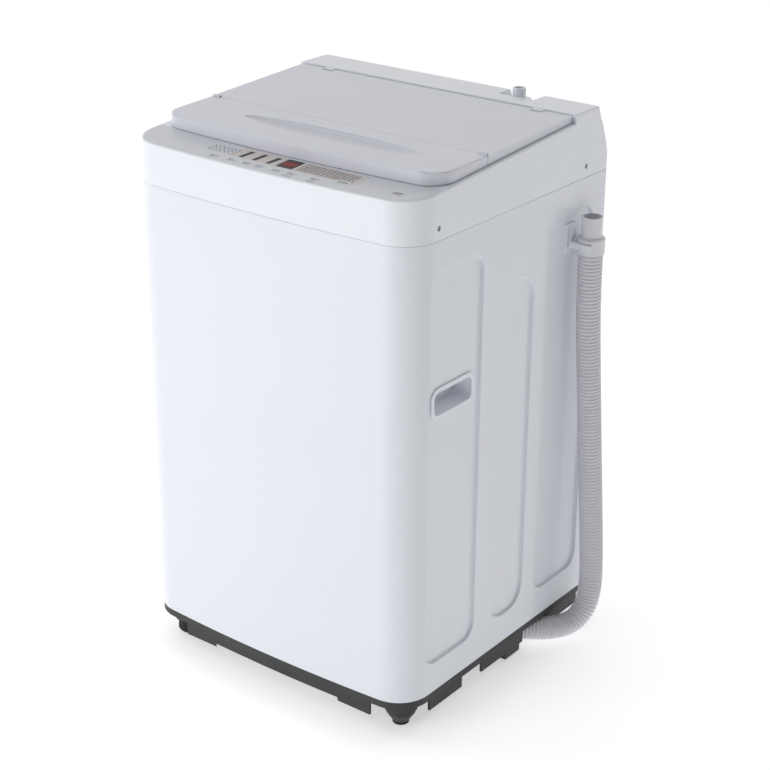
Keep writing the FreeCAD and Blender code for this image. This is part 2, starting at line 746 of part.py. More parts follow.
PANEL_LEFT = -245.0
DECK_TOP_END = 900.0
COVER_HALF = 205.0
KEY_DROP = 8.0
FUNCTION_KEYS = [-99.0, -65.0, -37.0, -13.0, 19.0, 46.0, 88.0]
KEY_Y = -240.0
KEYS = [("function_key_%d" % (n + 1), x, KEY_Y, 17.0, 9.0) for n, x in enumerate(FUNCTION_KEYS)]
KEYS += [("start_key", 130.0, -228.0, 24.0, 13.0), ("power_key", 220.0, -222.0, 22.0, 13.0)]
DISPLAY = (5.5, 35.5, -226.0, -194.0)
KEY_CORNER = 3.0


def deck_side(shrink, low):
    """Side outline of the top frame, its upper faces lowered and its back moved in by the shrink."""
    plate = FRAME_PLATE * shrink
    wall = FRAME_WALL * shrink
    start, end = FRONT - 10, STEP_Y + wall
    return [
        (start, low),
        (BACK - wall, low),
        (BACK - wall, SEAM_HEIGHT - 0.5, BACK_CURVE - wall),
        (DECK_BACK - wall, DECK_HEIGHT - plate),
        (end, DECK_HEIGHT - plate),
        (end, rim(end) - plate),
        (start, rim(start) - plate),
    ]


def key_block(name, key, grow, low, high):
    """The space of one key, or of its hole when it is grown."""
    label, x, y, width, height = key
    path = rounded(x - width / 2 - grow, x + width / 2 + grow, y - height / 2 - grow, y + height / 2 + grow, KEY_CORNER)
    slab = rim_band(name + "_band", FRONT - 10, -150, low, high, BODY_WIDTH)
    return common(name, prism(name + "_plan", path, SEAM_HEIGHT, DECK_HEIGHT), slab)


def display_block(name, grow, low, high):
    """The space of the display window, or of its hole when it is grown."""
    x0, x1, y0, y1 = DISPLAY
    plan = prism(name + "_plan", rounded(x0 - grow, x1 + grow, y0 - grow, y1 + grow, 2), SEAM_HEIGHT, DECK_HEIGHT)
    return common(name, plan, rim_band(name + "_band", FRONT - 10, -150, low, high, BODY_WIDTH))


def fascia_block(name, grow, low, high):
    """The space of the control fascia, or of its seat when it is grown."""
    plan = bowed(
        HALF, FRONT, FASCIA_BACK + FASCIA_MARGIN + grow, FRONT_CORNER, FRONT_BOW, FASCIA_MARGIN - grow
    )
    slab = rim_band(name + "_band", FRONT - 10, -150, low, high, BODY_WIDTH + 20)
    return common(name, prism(name + "_plan", plan, SEAM_HEIGHT, DECK_HEIGHT), slab)


def top_frame():
    """The plastic top frame with its splash collar, and the cover over the back of the deck."""
    outer = common(
        "deck_outer",
        prism("deck_plan", outline(), SEAM_HEIGHT, DECK_TOP_END),
        side_prism("deck_side", deck_side(0, SEAM_HEIGHT - 5), BODY_WIDTH + 20),
    )
    inner = common(
        "deck_inner",
        prism("deck_inner_plan", outline(FRAME_WALL), SEAM_HEIGHT - 5, DECK_TOP_END),
        side_prism("deck_inner_side", deck_side(1, SEAM_HEIGHT - 10), BODY_WIDTH + 20),
    )
    shell = cut("deck_shell", outer, inner)
    collar_radius = OPENING_RADIUS + SPLASH_WALL
    collar = common(
        "collar",
        ring("collar_ring", OPENING_RADIUS, collar_radius, SPLASH_BOTTOM, DECK_TOP_END, 0, OPENING_Y),
        side_prism("collar_side", deck_side(0, SPLASH_BOTTOM - 5), BODY_WIDTH + 20),
    )
    cheeks = []
    for side in (-1, 1):
        for y in SCREW_PLACES:
            start = HALF - 15 if side > 0 else 1 - HALF
            cheeks.append(rod("screw_boss", 8, 14, start, y, SCREW_HEIGHT, "x"))
    ears = [hinge_ear(x, STEP_Y + 1) for x in (-HINGE_X, HINGE_X)]
    tray = common(
        "notch_tray",
        block("tray_block", INLET_X - 27, INLET_X + 43, INLET_Y - 23, BACK, DECK_HEIGHT - NOTCH_DEPTH - 3, 900),
        side_prism("tray_side", deck_side(0, SEAM_HEIGHT), BODY_WIDTH),
    )
    posts = []
    for x in (BOARD[0] + 6, BOARD[1] - 6):
        for y in (BOARD[2] + 5, BOARD[3] - 5):
            post = rod("board_post", 3, 90, x, y, SEAM_HEIGHT)
            slab = rim_band("post_band", FRONT, -150, -BOARD_DROP, 1 - FRAME_PLATE, BODY_WIDTH - 6)
            posts.append(common("board_post_cut", post, slab))
    solid = fuse("frame_solid", shell, collar, tray, *cheeks, *ears, *posts)
    tools = [
        rod("mouth", OPENING_RADIUS, 200, 0, OPENING_Y, SPLASH_BOTTOM - 5),
        block(
            "inlet_notch", INLET_X - 24, INLET_X + 40, INLET_Y - 20, BACK + 5, DECK_HEIGHT - NOTCH_DEPTH, 905
        ),
        rod("inlet_hole", INLET_RADIUS + FIT, 60, INLET_X, INLET_Y, DECK_HEIGHT - 50),
        rod("nozzle_hole", NOZZLE_RADIUS + GAP, 100, INLET_X, 50, NOZZLE_Z, "y"),
        rod("hinge_bore", HINGE_PIN + RUNNING, BODY_WIDTH, -HALF, HINGE_Y, HINGE_Z, "x"),
        fascia_block("fascia_seat", FIT, -FASCIA_THICK, 20),
    ]
    tools += [key_block(key[0] + "_hole", key, GAP, -20, 5) for key in KEYS]
    for side in (-1, 1):
        for y in SCREW_PLACES:
            start = HALF - 4 if side > 0 else -HALF - 5
            tools.append(rod("screw_recess", 4.1, 9, start, y, SCREW_HEIGHT, "x"))
            start = HALF - 30 if side > 0 else -HALF
            tools.append(rod("screw_bore", SHEET_SCREW + FIT, 30, start, y, SCREW_HEIGHT, "x"))
    whole = cut("frame_whole", solid, *tools)
    window = block("cover_window", -COVER_HALF, 90, DECK_BACK + 3, BACK + 5, SEAM_HEIGHT + 8, DECK_HEIGHT - 8)
    step = block("step_block", -HALF - 5, HALF + 5, STEP_Y, BACK + 5, SEAM_HEIGHT - 5, DECK_TOP_END)
    behind = fuse("behind_step", step, *[hinge_ear(x, STEP_Y) for x in (-HINGE_X, HINGE_X)])
    node(cut("frame_cut", whole, behind), "top_frame")
    node(cut("housing_cut", common("housing_common", whole, behind), window), "rear_housing")
    inside = block(
        "cover_block", GAP - COVER_HALF, 90 - GAP, DECK_BACK + 3 + GAP, BACK + 5, SEAM_HEIGHT + 8 + GAP, DECK_HEIGHT - 8 - GAP
    )
    node(common("cover_common", shell, inside), "rear_cover")

    switch_plan = prism("switch_plan", rounded(195, 223, 100, 118, 2), SEAM_HEIGHT, DECK_HEIGHT)
    slab = rim_band("switch_band", 90, 130, -FRAME_PLATE - 14, -FRAME_PLATE, BODY_WIDTH)
    node(common("switch", switch_plan, slab), "lid_switch")


def hinge_ear(x, back):
    """One ear that carries a lid hinge pin, from the hinge back to a given depth."""
    return block("hinge_ear", x - HINGE_EAR / 2, x + HINGE_EAR / 2, HINGE_Y - 4, back, HINGE_Z - 4, HINGE_Z + 4)


BOARD = (-130.0, 236.0, -236.0, -194.0)
BOARD_DROP = 9.6
BOARD_THICK = 1.6
NOZZLE_RADIUS = 9.0
NOZZLE_Z = 836.0


def controls():
    """The control fascia, its display window and keys, and the circuit board below them."""
    fascia = fascia_block("fascia", 0, -FASCIA_THICK, 0.2)
    holes = [key_block(key[0] + "_gap", key, GAP / 2, -5, 5) for key in KEYS]
    window = display_block("display_gap", FIT, -5, 5)
    node(cut("fascia_cut", fascia, window, *holes), "control_fascia")
    node(display_block("display", 0, -FASCIA_THICK, 0.2), "display_window")
    for key in KEYS:
        node(key_block(key[0] + "_cap", key, 0, -KEY_DROP, 0.5), key[0])
    x0, x1, y0, y1 = BOARD
    slab = rim_band("board_band", FRONT, -150, -BOARD_DROP - BOARD_THICK, -BOARD_DROP, BODY_WIDTH)
    board = common("board", prism("board_plan", rounded(x0, x1, y0, y1, 2), SEAM_HEIGHT, DECK_HEIGHT), slab)
    node(board, "control_board")


def water_inlet():
    """The inlet valve with its threaded nipple, and the water level sensor."""
    floor = DECK_HEIGHT - NOTCH_DEPTH
    collar = rod("inlet_collar", 19, 4, INLET_X, INLET_Y, floor)
    nipple = rod("inlet_nipple", INLET_RADIUS, INLET_TOP - floor + 16, INLET_X, INLET_Y, floor - 16)
    body = block("valve_body", INLET_X - 19, INLET_X + 19, 180, INLET_Y + 11, NOZZLE_Z - 18, floor - 8)
    nozzle_start = OPENING_Y + 84
    nozzle = rod("nozzle", NOZZLE_RADIUS, 181 - nozzle_start, INLET_X, nozzle_start, NOZZLE_Z, "y")
    bore = rod("inlet_bore", INLET_BORE, 30, INLET_X, INLET_Y, INLET_TOP - 24)
    outlet = rod("nozzle_bore", NOZZLE_RADIUS - 2, 60, INLET_X, nozzle_start - 5, NOZZLE_Z, "y")
    node(cut("valve", fuse("valve_solid", collar, nipple, body, nozzle), bore, outlet), "inlet_valve")
    sensor = rod("sensor_body", 25, 18, -150, 188, DECK_HEIGHT - FRAME_PLATE - 18)
    port = rod("sensor_port", 3.5, 12, -150, 188, DECK_HEIGHT - FRAME_PLATE - 30)
    node(fuse("sensor", sensor, port), "water_level_sensor")


# ---------------------------------------------------------------- lid

def lid_side_path(front, back, low, drop):
    """Side outline of a lid half between two depths, its top lowered by the drop."""
    return [(front, low(front)), (back, low(back)), (back, lid_top(back) - drop), (front, lid_top(front) - drop)]


def lid_top(y):
    """Height of the lid's top at a place along the depth."""
    y = Size.of(y)
    if y.value <= LID_FOLD.value:
        return LID_TOP_FOLD + (y - LID_FOLD) * (LID_TOP_FOLD - LID_TOP_FRONT) / (LID_FOLD - LID_FRONT)
    return LID_TOP_FOLD + (y - LID_FOLD) * (LID_TOP_REAR - LID_TOP_FOLD) / (LID_BACK - LID_FOLD)


def lid_bottom(y):
    """Height of the lid's underside at a place along the depth."""
    return rim(y, LID_GAP)


def below_lid(y):
    """A height safely below the lid's underside."""
    return rim(y, -6)


def barrel(name, x0, x1, radius):
    """A stretch of the fold hinge's barrel across the machine."""
    return rod(name, radius, Size.of(x1) - x0, x0, LID_FOLD, LID_TOP_FOLD, "x")


def lid():
    """The two halves of the folding lid, with their hinge pins."""
    half = HALF - LID_SIDE
    wide = BODY_WIDTH
    bow = FRONT_BOW
    front_back = LID_FOLD - GAP
    outer = common(
        "front_lid_outer",
        prism("front_lid_plan", bowed(half, LID_FRONT, front_back, LID_CORNER, bow), 840, 900),
        side_prism("front_lid_side", lid_side_path(LID_FRONT - 1, front_back + 0, lid_bottom, 0), wide),
    )
    inner = common(
        "front_lid_inner",
        prism("front_lid_hollow", bowed(half, LID_FRONT, front_back, LID_CORNER, bow, LID_WALL), 835, 900),
        side_prism("front_lid_under", lid_side_path(LID_FRONT, front_back, below_lid, LID_WALL), wide),
    )
    scoops = []
    for name, grow in (("scoop", 0), ("scoop_back", LID_WALL)):
        bowl = doc.addObject("Part::Ellipsoid", name)
        bind(bowl, "Radius1", GROOVE_DEPTH + grow)
        bind(bowl, "Radius2", GROOVE_LENGTH / 2 + grow)
        bind(bowl, "Radius3", GROOVE_WIDTH / 2 + grow)
        scoops.append(place(bowl, GROOVE_X, GROOVE_Y, lid_top(GROOVE_Y)))
    shell = cut("front_lid_shell", outer, inner)
    backed = fuse("front_lid_backed", shell, common("scoop_wall", scoops[1], outer))
    rear_slots = [(BARREL_IN, BARREL_MID), (-BARREL_MID, -BARREL_IN)]
    front_slots = [(BARREL_MID + GAP / 2, BARREL_OUT), (-BARREL_OUT, -BARREL_MID - GAP / 2)]
    barrels = [barrel("front_barrel", x0, x1, FOLD_BARREL) for x0, x1 in rear_slots]
    reliefs = [barrel("front_relief", x0 - GAP, x1 + GAP, FOLD_BARREL + GAP) for x0, x1 in front_slots]
    bores = [barrel("front_bore", x0 - 1, x1 + 1, FOLD_PIN + RUNNING) for x0, x1 in rear_slots]
    reduced = cut("front_lid_relieved", backed, scoops[0], *reliefs)
    node(cut("front_lid", fuse("front_lid_barrels", reduced, *barrels), *bores), "lid_front")

    rear_front = LID_FOLD + GAP
    plan = rounded(-half, half, rear_front, LID_BACK, 1.5)
    hollow = rounded(LID_WALL - half, half - LID_WALL, rear_front + LID_WALL, LID_BACK - LID_WALL, 1.0)
    outer = common(
        "rear_lid_outer",
        prism("rear_lid_plan", plan, 840, 900),
        side_prism("rear_lid_side", lid_side_path(rear_front, LID_BACK + 1, lid_bottom, 0), wide),
    )
    inner = common(
        "rear_lid_inner",
        prism("rear_lid_hollow", hollow, 835, 900),
        side_prism("rear_lid_under", lid_side_path(rear_front, LID_BACK, below_lid, LID_WALL), wide),
    )
    blocks, slots = [], []
    for x in (-HINGE_X, HINGE_X):
        low, high = x - HINGE_EAR / 2, x + HINGE_EAR / 2
        blocks.append(block("pin_block", low - 10, high + 10, HINGE_Y - 10, LID_BACK, HINGE_Z - 9, 900))
        slots.append(block("ear_slot", low - 0.5, high + 0.5, HINGE_Y - 8, LID_BACK + 5, 850, 905))
        slots.append(rod("pin_seat", HINGE_PIN, HINGE_EAR + 20 - 4, low - 8, HINGE_Y, HINGE_Z, "x"))
    shell = cut("rear_lid_shell", outer, inner)
    backed = fuse("rear_lid_backed", shell, common("pin_blocks", fuse("pin_block_pair", *blocks), outer))
    barrels = [barrel("rear_barrel", x0, x1, FOLD_BARREL) for x0, x1 in front_slots]
    reliefs = [barrel("rear_relief", x0 - GAP, x1 + GAP, FOLD_BARREL + GAP) for x0, x1 in rear_slots]
    bores = [barrel("rear_bore", x0 - 1, x1 - 1, FOLD_PIN) for x0, x1 in front_slots[:1]]
    bores += [barrel("rear_bore", x0 + 1, x1 + 1, FOLD_PIN) for x0, x1 in front_slots[1:]]
    reduced = cut("rear_lid_relieved", backed, *reliefs, *slots)
    node(cut("rear_lid", fuse("rear_lid_barrels", reduced, *barrels), *bores), "lid_rear")

    pins = []
    for x in (-HINGE_X, HINGE_X):
        start = x - HINGE_EAR / 2 - 8
        pins.append(rod("hinge_pin", HINGE_PIN, HINGE_EAR + 16, start, HINGE_Y, HINGE_Z, "x"))
    pins.append(barrel("fold_pin", BARREL_IN + GAP, BARREL_OUT - 1, FOLD_PIN))
    pins.append(barrel("fold_pin", 1 - BARREL_OUT, -BARREL_IN - GAP, FOLD_PIN))
    node(group("pin_set", pins), "lid_pins")


BARREL_IN = HALF - 22
BARREL_MID = HALF - 15.5
BARREL_OUT = HALF - 8.5


# ---------------------------------------------------------------- tub, basket and drive

HUB_BOTTOM = TUB_BOTTOM - HUB_DROP
HUB_TOP = TUB_BOTTOM + TUB_FLOOR + 6
PLATE_BOTTOM = HUB_BOTTOM - PLATE_THICK
GEARCASE_BOTTOM = PLATE_BOTTOM - GEARCASE_HEIGHT
CUP_BOTTOM = SEAT_HEIGHT + SPRING_LENGTH
ARM_BOTTOM = CUP_BOTTOM + CUP_HEIGHT
CORNERS = [(1, 1), (-1, 1), (-1, -1), (1, -1)]
BEARING_BOTTOMS = [GEARCASE_BOTTOM + 34, HUB_BOTTOM + 4]
DRUM_INNER = DRUM_RADIUS - DRUM_SHEET


def tub():
    """The outer tub with its suspension arms, and the cover on its rim."""
    profile = [
        (BEARING_RADIUS, HUB_BOTTOM),
        (HUB_RADIUS, HUB_BOTTOM),
        (HUB_RADIUS, TUB_BOTTOM),
        (TUB_RADIUS, TUB_BOTTOM),
        (TUB_RADIUS, TUB_TOP - 8),
        (TUB_RADIUS + 5, TUB_TOP - 8),
        (TUB_RADIUS + 5, TUB_TOP),
        (TUB_RADIUS - TUB_WALL, TUB_TOP),
        (TUB_RADIUS - TUB_WALL, TUB_BOTTOM + TUB_FLOOR),
        (HUB_RADIUS, TUB_BOTTOM + TUB_FLOOR),
        (HUB_RADIUS - 4, HUB_TOP),
        (BEARING_RADIUS, HUB_TOP),
    ]
    shell = turned("tub_shell", profile)
    arms, holes = [], []
    reach = ROD_OFFSET * math.sqrt(2.0) - TUB_RADIUS + TUB_WALL / 2
    for number, (sx, sy) in enumerate(CORNERS):
        arm = doc.addObject("Part::Box", "tub_arm")
        bind(arm, "Length", reach)
        bind(arm, "Width", 36)
        bind(arm, "Height", ARM_HEIGHT)
        near = (TUB_RADIUS - TUB_WALL / 2) / math.sqrt(2.0)
        skew = 18 / math.sqrt(2.0)
        side = Rotation(Vector(0, 0, 1), 45 + 90 * number)
        place(arm, near * sx + skew * sy, near * sy - skew * sx, ARM_BOTTOM, side)
        arms.append(arm)
        arms.append(rod("arm_end", 20, ARM_HEIGHT, ROD_OFFSET * sx, ROD_OFFSET * sy, ARM_BOTTOM))
        holes.append(rod("arm_hole", ROD_RADIUS + 2, 60, ROD_OFFSET * sx, ROD_OFFSET * sy, ARM_BOTTOM - 20))
    keep_out = rod("tub_space", TUB_RADIUS - TUB_WALL, 100, 0, 0, ARM_BOTTOM - 20)
    arm_set = cut("arm_set", fuse("arms", *arms), keep_out)
    holes.append(rod("drain_hole", DRAIN_RADIUS, 30, DRAIN_X, DRAIN_Y, TUB_BOTTOM - 10))
    node(cut("outer_tub_cut", fuse("tub_solid", shell, arm_set), *holes), "outer_tub")

    top = TUB_TOP + COVER_HEIGHT
    rim_radius = TUB_RADIUS + 5
    profile = [
        (TUB_RADIUS - TUB_WALL, TUB_TOP),
        (rim_radius, TUB_TOP),
        (rim_radius, TUB_TOP + 12),
        (MOUTH_RADIUS + 3, top),
        (MOUTH_RADIUS, top),
        (MOUTH_RADIUS, top - 4),
        (TUB_RADIUS - TUB_WALL, TUB_TOP + 8),
    ]
    node(turned("cover_ring", profile), "tub_cover")

    rings = [ring("bearing", SPIN_SHAFT + RUNNING, BEARING_RADIUS, z, z + BEARING_HEIGHT) for z in BEARING_BOTTOMS]
    node(group("bearing_pair", rings), "spin_bearings")
    seal_low = BEARING_BOTTOMS[1] + BEARING_HEIGHT
    node(ring("seal", SPIN_SHAFT + 0.3, BEARING_RADIUS, seal_low, seal_low + 8), "shaft_seal")


def basket():
    """The spinning basket: drum, floor, balance ring, lint filters and its hollow shaft."""
    node(ring("drum", DRUM_INNER, DRUM_RADIUS, DRUM_BOTTOM, DRUM_TOP), "basket_drum")
    profile = [
        (SPIN_SHAFT, HUB_TOP + 6),
        (HUB_RADIUS - 4, HUB_TOP + 6),
        (HUB_RADIUS - 4, DRUM_BOTTOM - 10),
        (DRUM_RADIUS + 3, DRUM_BOTTOM - 10),
        (DRUM_RADIUS + 3, DRUM_BOTTOM),
        (HUB_RADIUS, DRUM_BOTTOM),
        (HUB_RADIUS, DRUM_BOTTOM + 4),
        (SPIN_SHAFT, DRUM_BOTTOM + 4),
    ]
    node(turned("floor", profile), "basket_floor")
    top = DRUM_TOP + BALANCE_HEIGHT
    profile = [
        (MOUTH_RADIUS - 4, DRUM_TOP + 6),
        (MOUTH_RADIUS + 2, DRUM_TOP),
        (DRUM_RADIUS + 4, DRUM_TOP),
        (DRUM_RADIUS + 4, top - 4),
        (DRUM_RADIUS, top),
        (MOUTH_RADIUS - 4, top),
    ]
    node(turned("balance", profile), "balance_ring")
    filters = []
    for side in (-1, 1):
        low, high = (DRUM_INNER - 15, DRUM_INNER) if side > 0 else (-DRUM_INNER, 15 - DRUM_INNER)
        box = block("filter_box", low, high, -36, 36, 420, 530)
        filters.append(common("filter", box, rod("filter_space", DRUM_INNER - GAP, 200, 0, 0, 400)))
    node(group("filters", filters), "lint_filter")
    node(ring("hollow_shaft", WASH_SHAFT + RUNNING, SPIN_SHAFT, GEARCASE_BOTTOM + 34, DRUM_BOTTOM + 2), "spin_shaft")


def pulsator():
    """The ribbed pulsator, its shaft and the screw that holds it."""
    seat = PULSATOR_BOTTOM + 16
    profile = [
        (0, seat),
        (WASH_SHAFT, seat),
        (WASH_SHAFT, PULSATOR_BOTTOM - 2),
        (24, PULSATOR_BOTTOM - 2),
        (26, PULSATOR_BOTTOM),
        (PULSATOR_RADIUS - 3, PULSATOR_BOTTOM),
        (PULSATOR_RADIUS, PULSATOR_BOTTOM + 4),
        (PULSATOR_RADIUS - 3, PULSATOR_BOTTOM + 9),
        (60, PULSATOR_BOTTOM + 14),
        (26, seat + 12),
        (0, seat + 12),
    ]
    disc = turned("pulsator_disc", profile)
    vanes = []
    for number in range(PULSATOR_VANES):
        vane = doc.addObject("Part::Box", "vane")
        bind(vane, "Length", PULSATOR_RADIUS - 50)
        bind(vane, "Width", 12)
        bind(vane, "Height", 16)
        angle = 2 * math.pi * number / PULSATOR_VANES
        spin = Rotation(Vector(0, 0, 1), math.degrees(angle))
        x = 36 * math.cos(angle) + 6 * math.sin(angle)
        y = 36 * math.sin(angle) - 6 * math.cos(angle)
        vanes.append(place(vane, x, y, PULSATOR_BOTTOM + 6, spin))
    screw_hole = rod("pulsator_hole", 3.1, 40, 0, 0, seat - 10)
    head_seat = rod("head_seat", 7.5, 10, 0, 0, seat + 6)
    node(cut("pulsator_cut", fuse("pulsator_solid", disc, *vanes), screw_hole, head_seat), "pulsator")
    shaft = rod("wash_rod", WASH_SHAFT, seat - GEARCASE_BOTTOM - 32, 0, 0, GEARCASE_BOTTOM + 32)
    node(cut("wash_shaft", shaft, rod("wash_thread", 3, 20, 0, 0, seat - 16)), "agitate_shaft")
    head = rod("pulsator_head", 7, 4, 0, 0, seat + 6)
    shank = rod("pulsator_shank", 3, 20, 0, 0, seat - 14)
    node(fuse("pulsator_bolt", head, shank), "pulsator_screw")


PULSATOR_VANES = 6


def belt_path(driven, motor):
    """Plan outline of a belt face round both pulleys, anticlockwise; the motor lies towards -X."""
    cosine = (driven - motor) / MOTOR_X
    sine = root(1 - cosine * cosine)
    return [
        (0 - driven * cosine, -driven * sine, driven),
        (driven, 0, driven),
        (0 - driven * cosine, driven * sine),
        (-MOTOR_X - motor * cosine, motor * sine, motor),
        (-MOTOR_X - motor * cosine, -motor * sine),
    ]


def pulley_profile(radius, low):
    """A grooved rim's profile, from the axis outwards."""
    floor = radius - GROOVE_FLOOR
    return [
        (0, low),
        (radius, low),
        (radius, low + 2),
        (floor, low + 2.5),
        (floor, low + PULLEY_HEIGHT - 2.5),
        (radius, low + PULLEY_HEIGHT - 2),
        (radius, low + PULLEY_HEIGHT),
        (0, low + PULLEY_HEIGHT),
    ]


def drive():
    """The drive plate under the tub with gearcase, motor, pulleys, belt and drain valve."""
    plate = prism("plate", rounded(-MOTOR_X - 52, 96, -88, 88, 20), PLATE_BOTTOM, HUB_BOTTOM)
    node(cut("plate_cut", plate, rod("plate_hole", BEARING_RADIUS, 20, 0, 0, PLATE_BOTTOM - 5)), "drive_plate")
    profile = [
        (WASH_SHAFT + RUNNING, GEARCASE_BOTTOM),
        (GEARCASE_RADIUS - 12, GEARCASE_BOTTOM),
        (GEARCASE_RADIUS, GEARCASE_BOTTOM + 14),
        (GEARCASE_RADIUS, PLATE_BOTTOM),
        (BEARING_RADIUS, PLATE_BOTTOM),
        (BEARING_RADIUS, GEARCASE_BOTTOM + 28),
        (WASH_SHAFT + RUNNING, GEARCASE_BOTTOM + 28),
    ]
    node(turned("gearcase_body", profile), "gearcase")
    can = turned(
        "motor_can",
        [
            (MOTOR_SHAFT + RUNNING, GEARCASE_BOTTOM + 2),
            (20, GEARCASE_BOTTOM + 2),
            (20, GEARCASE_BOTTOM + 8),
            (MOTOR_RADIUS, GEARCASE_BOTTOM + 8),
            (MOTOR_RADIUS, PLATE_BOTTOM - 8),
            (18, PLATE_BOTTOM - 8),
            (18, PLATE_BOTTOM),
            (0, PLATE_BOTTOM),
            (0, GEARCASE_BOTTOM + 32),
            (MOTOR_SHAFT + RUNNING, GEARCASE_BOTTOM + 32),
        ],
        -MOTOR_X,
        0,
    )
    node(can, "motor")
    wheel = turned("driven_wheel", pulley_profile(PULLEY_RADIUS, PULLEY_Z))
    stub = rod("input_shaft", WASH_SHAFT, GEARCASE_BOTTOM + 26 - PULLEY_Z, 0, 0, PULLEY_Z)
    node(fuse("driven", wheel, stub), "driven_pulley")
    wheel = turned("motor_wheel", pulley_profile(MOTOR_PULLEY, PULLEY_Z), -MOTOR_X, 0)
    stub = rod("motor_shaft", MOTOR_SHAFT, GEARCASE_BOTTOM + 30 - PULLEY_Z, -MOTOR_X, 0, PULLEY_Z)
    node(fuse("motor_drive", wheel, stub), "motor_pulley")
    inner = [radius - GROOVE_FLOOR + BELT_CLEAR for radius in (PULLEY_RADIUS, MOTOR_PULLEY)]
    outer = [radius + BELT_THICK for radius in inner]
    low, high = PULLEY_Z + 3, PULLEY_Z + PULLEY_HEIGHT - 3
    belt = cut(
        "belt",
        prism("belt_outer", belt_path(*outer), low, high),
        prism("belt_inner", belt_path(*inner), low - 2, high + 2),
    )
    node(belt, "drive_belt")

    valve_bottom = TUB_BOTTOM - 46
    node(ring("valve_tube", DRAIN_RADIUS, DRAIN_RADIUS + 8, valve_bottom, TUB_BOTTOM, DRAIN_X, DRAIN_Y), "drain_valve")
    case = block("actuator_case", DRAIN_X - 74, DRAIN_X - 30, DRAIN_Y - 14, DRAIN_Y + 14, TUB_BOTTOM - 34, TUB_BOTTOM)
    pull = rod("actuator_pull", 2.5, 8, DRAIN_X - 30.5, DRAIN_Y, TUB_BOTTOM - 20, "x")
    node(fuse("actuator", case, pull), "drain_actuator")
    duct_low = OUTLET_Z + 35
    node(ring("duct", DRAIN_RADIUS + 1, DRAIN_RADIUS + 4, duct_low, valve_bottom, DRAIN_X, DRAIN_Y), "drain_duct")


# ---------------------------------------------------------------- suspension

def suspension():
    """Four corner brackets with their hanging rods, springs and spring cups."""
    brackets, rods, springs, cups = [], [], [], []
    top = BRACKET_HEIGHT + BRACKET_SHEET
    ball_z = top + BALL_RADIUS * 0.9
    edge = HALF - 95
    for sx, sy in CORNERS:
        x, y = ROD_OFFSET * sx, ROD_OFFSET * sy
        low_x, high_x = (edge, HALF + 5) if sx > 0 else (-HALF - 5, -edge)
        low_y, high_y = (edge, BACK + 5) if sy > 0 else (FRONT - 5, -edge)
        corner = block("bracket_corner", low_x, high_x, low_y, high_y, BRACKET_HEIGHT - 5, top + 5)
        plan = prism("bracket_plan", outline(SHEET_WALL), BRACKET_HEIGHT, top)
        hole = rod("bracket_hole", ROD_RADIUS + 1, 20, x, y, BRACKET_HEIGHT - 5)
        brackets.append(cut("bracket", common("bracket_plate", plan, corner), hole))
        stem = rod("rod_stem", ROD_RADIUS, ball_z - ROD_BOTTOM, x, y, ROD_BOTTOM)
        washer = rod("rod_washer", SPRING_RADIUS + 4, 4, x, y, SEAT_HEIGHT - 4)
        nut = rod("rod_nut", 6, 8, x, y, ROD_BOTTOM + 2)
        rods.append(fuse("hanger", stem, ball("rod_ball", BALL_RADIUS, x, y, ball_z), washer, nut))
        cups.append(ring("cup", ROD_RADIUS + 1, SPRING_RADIUS + 5, CUP_BOTTOM, ARM_BOTTOM, x, y))
        springs.append(spring(x, y))
    node(group("bracket_set", brackets), "suspension_brackets")
    node(group("rod_set", rods), "suspension_rods")
    node(group("cup_set", cups), "suspension_cups")
    node(group("spring_set", springs), "suspension_springs")


SPRING_TURNS = 6
END_GAP = 0.1


def spring(x, y):
    """One coil spring between a rod's washer and its cup."""
    wire = SPRING_WIRE.value
    rise = SPRING_LENGTH.value - 2 * wire - 2 * END_GAP
    helix = Part.makeHelix(rise / SPRING_TURNS, rise, SPRING_RADIUS.value)
    start = Vector(SPRING_RADIUS.value, 0, 0)
    section = Part.Wire([Part.Circle(start, Vector(0, 1, 0), wire).toShape()])
    item = doc.addObject("Part::Feature", "spring")
    item.Shape = Part.Wire(helix).makePipeShell([section], True, True)
    return place(item, x, y, SEAT_HEIGHT + wire + END_GAP)


# ---------------------------------------------------------------- drain hose

def hose_wire(route):
    """Straight runs joined by tangent arcs along a route of points."""
    points = [Vector(*p) for p in route]
    edges, start = [], points[0]
    for before, corner, after in zip(points, points[1:], points[2:]):
        enter, leave = corner - before, after - corner
        turn = enter.getAngle(leave)
        shorter = min(enter.Length, leave.Length)
        setback = 0.45 * shorter
        radius = setback / math.tan(turn / 2)
        enter_dir, leave_dir = enter.normalize(), leave.normalize()
        first, last = corner - enter_dir * setback, corner + leave_dir * setback
        inward = (leave_dir - enter_dir).normalize()
        middle = corner + inward * (math.hypot(radius, setback) - radius)
        edges.append(Part.LineSegment(start, first).toShape())
        edges.append(Part.Arc(first, middle, last).toShape())
        print("hose bend radius %.0f mm at z %.0f" % (radius, corner.z))
        start = last
    edges.append(Part.LineSegment(start, points[-1]).toShape())
    return Part.Wire(edges)


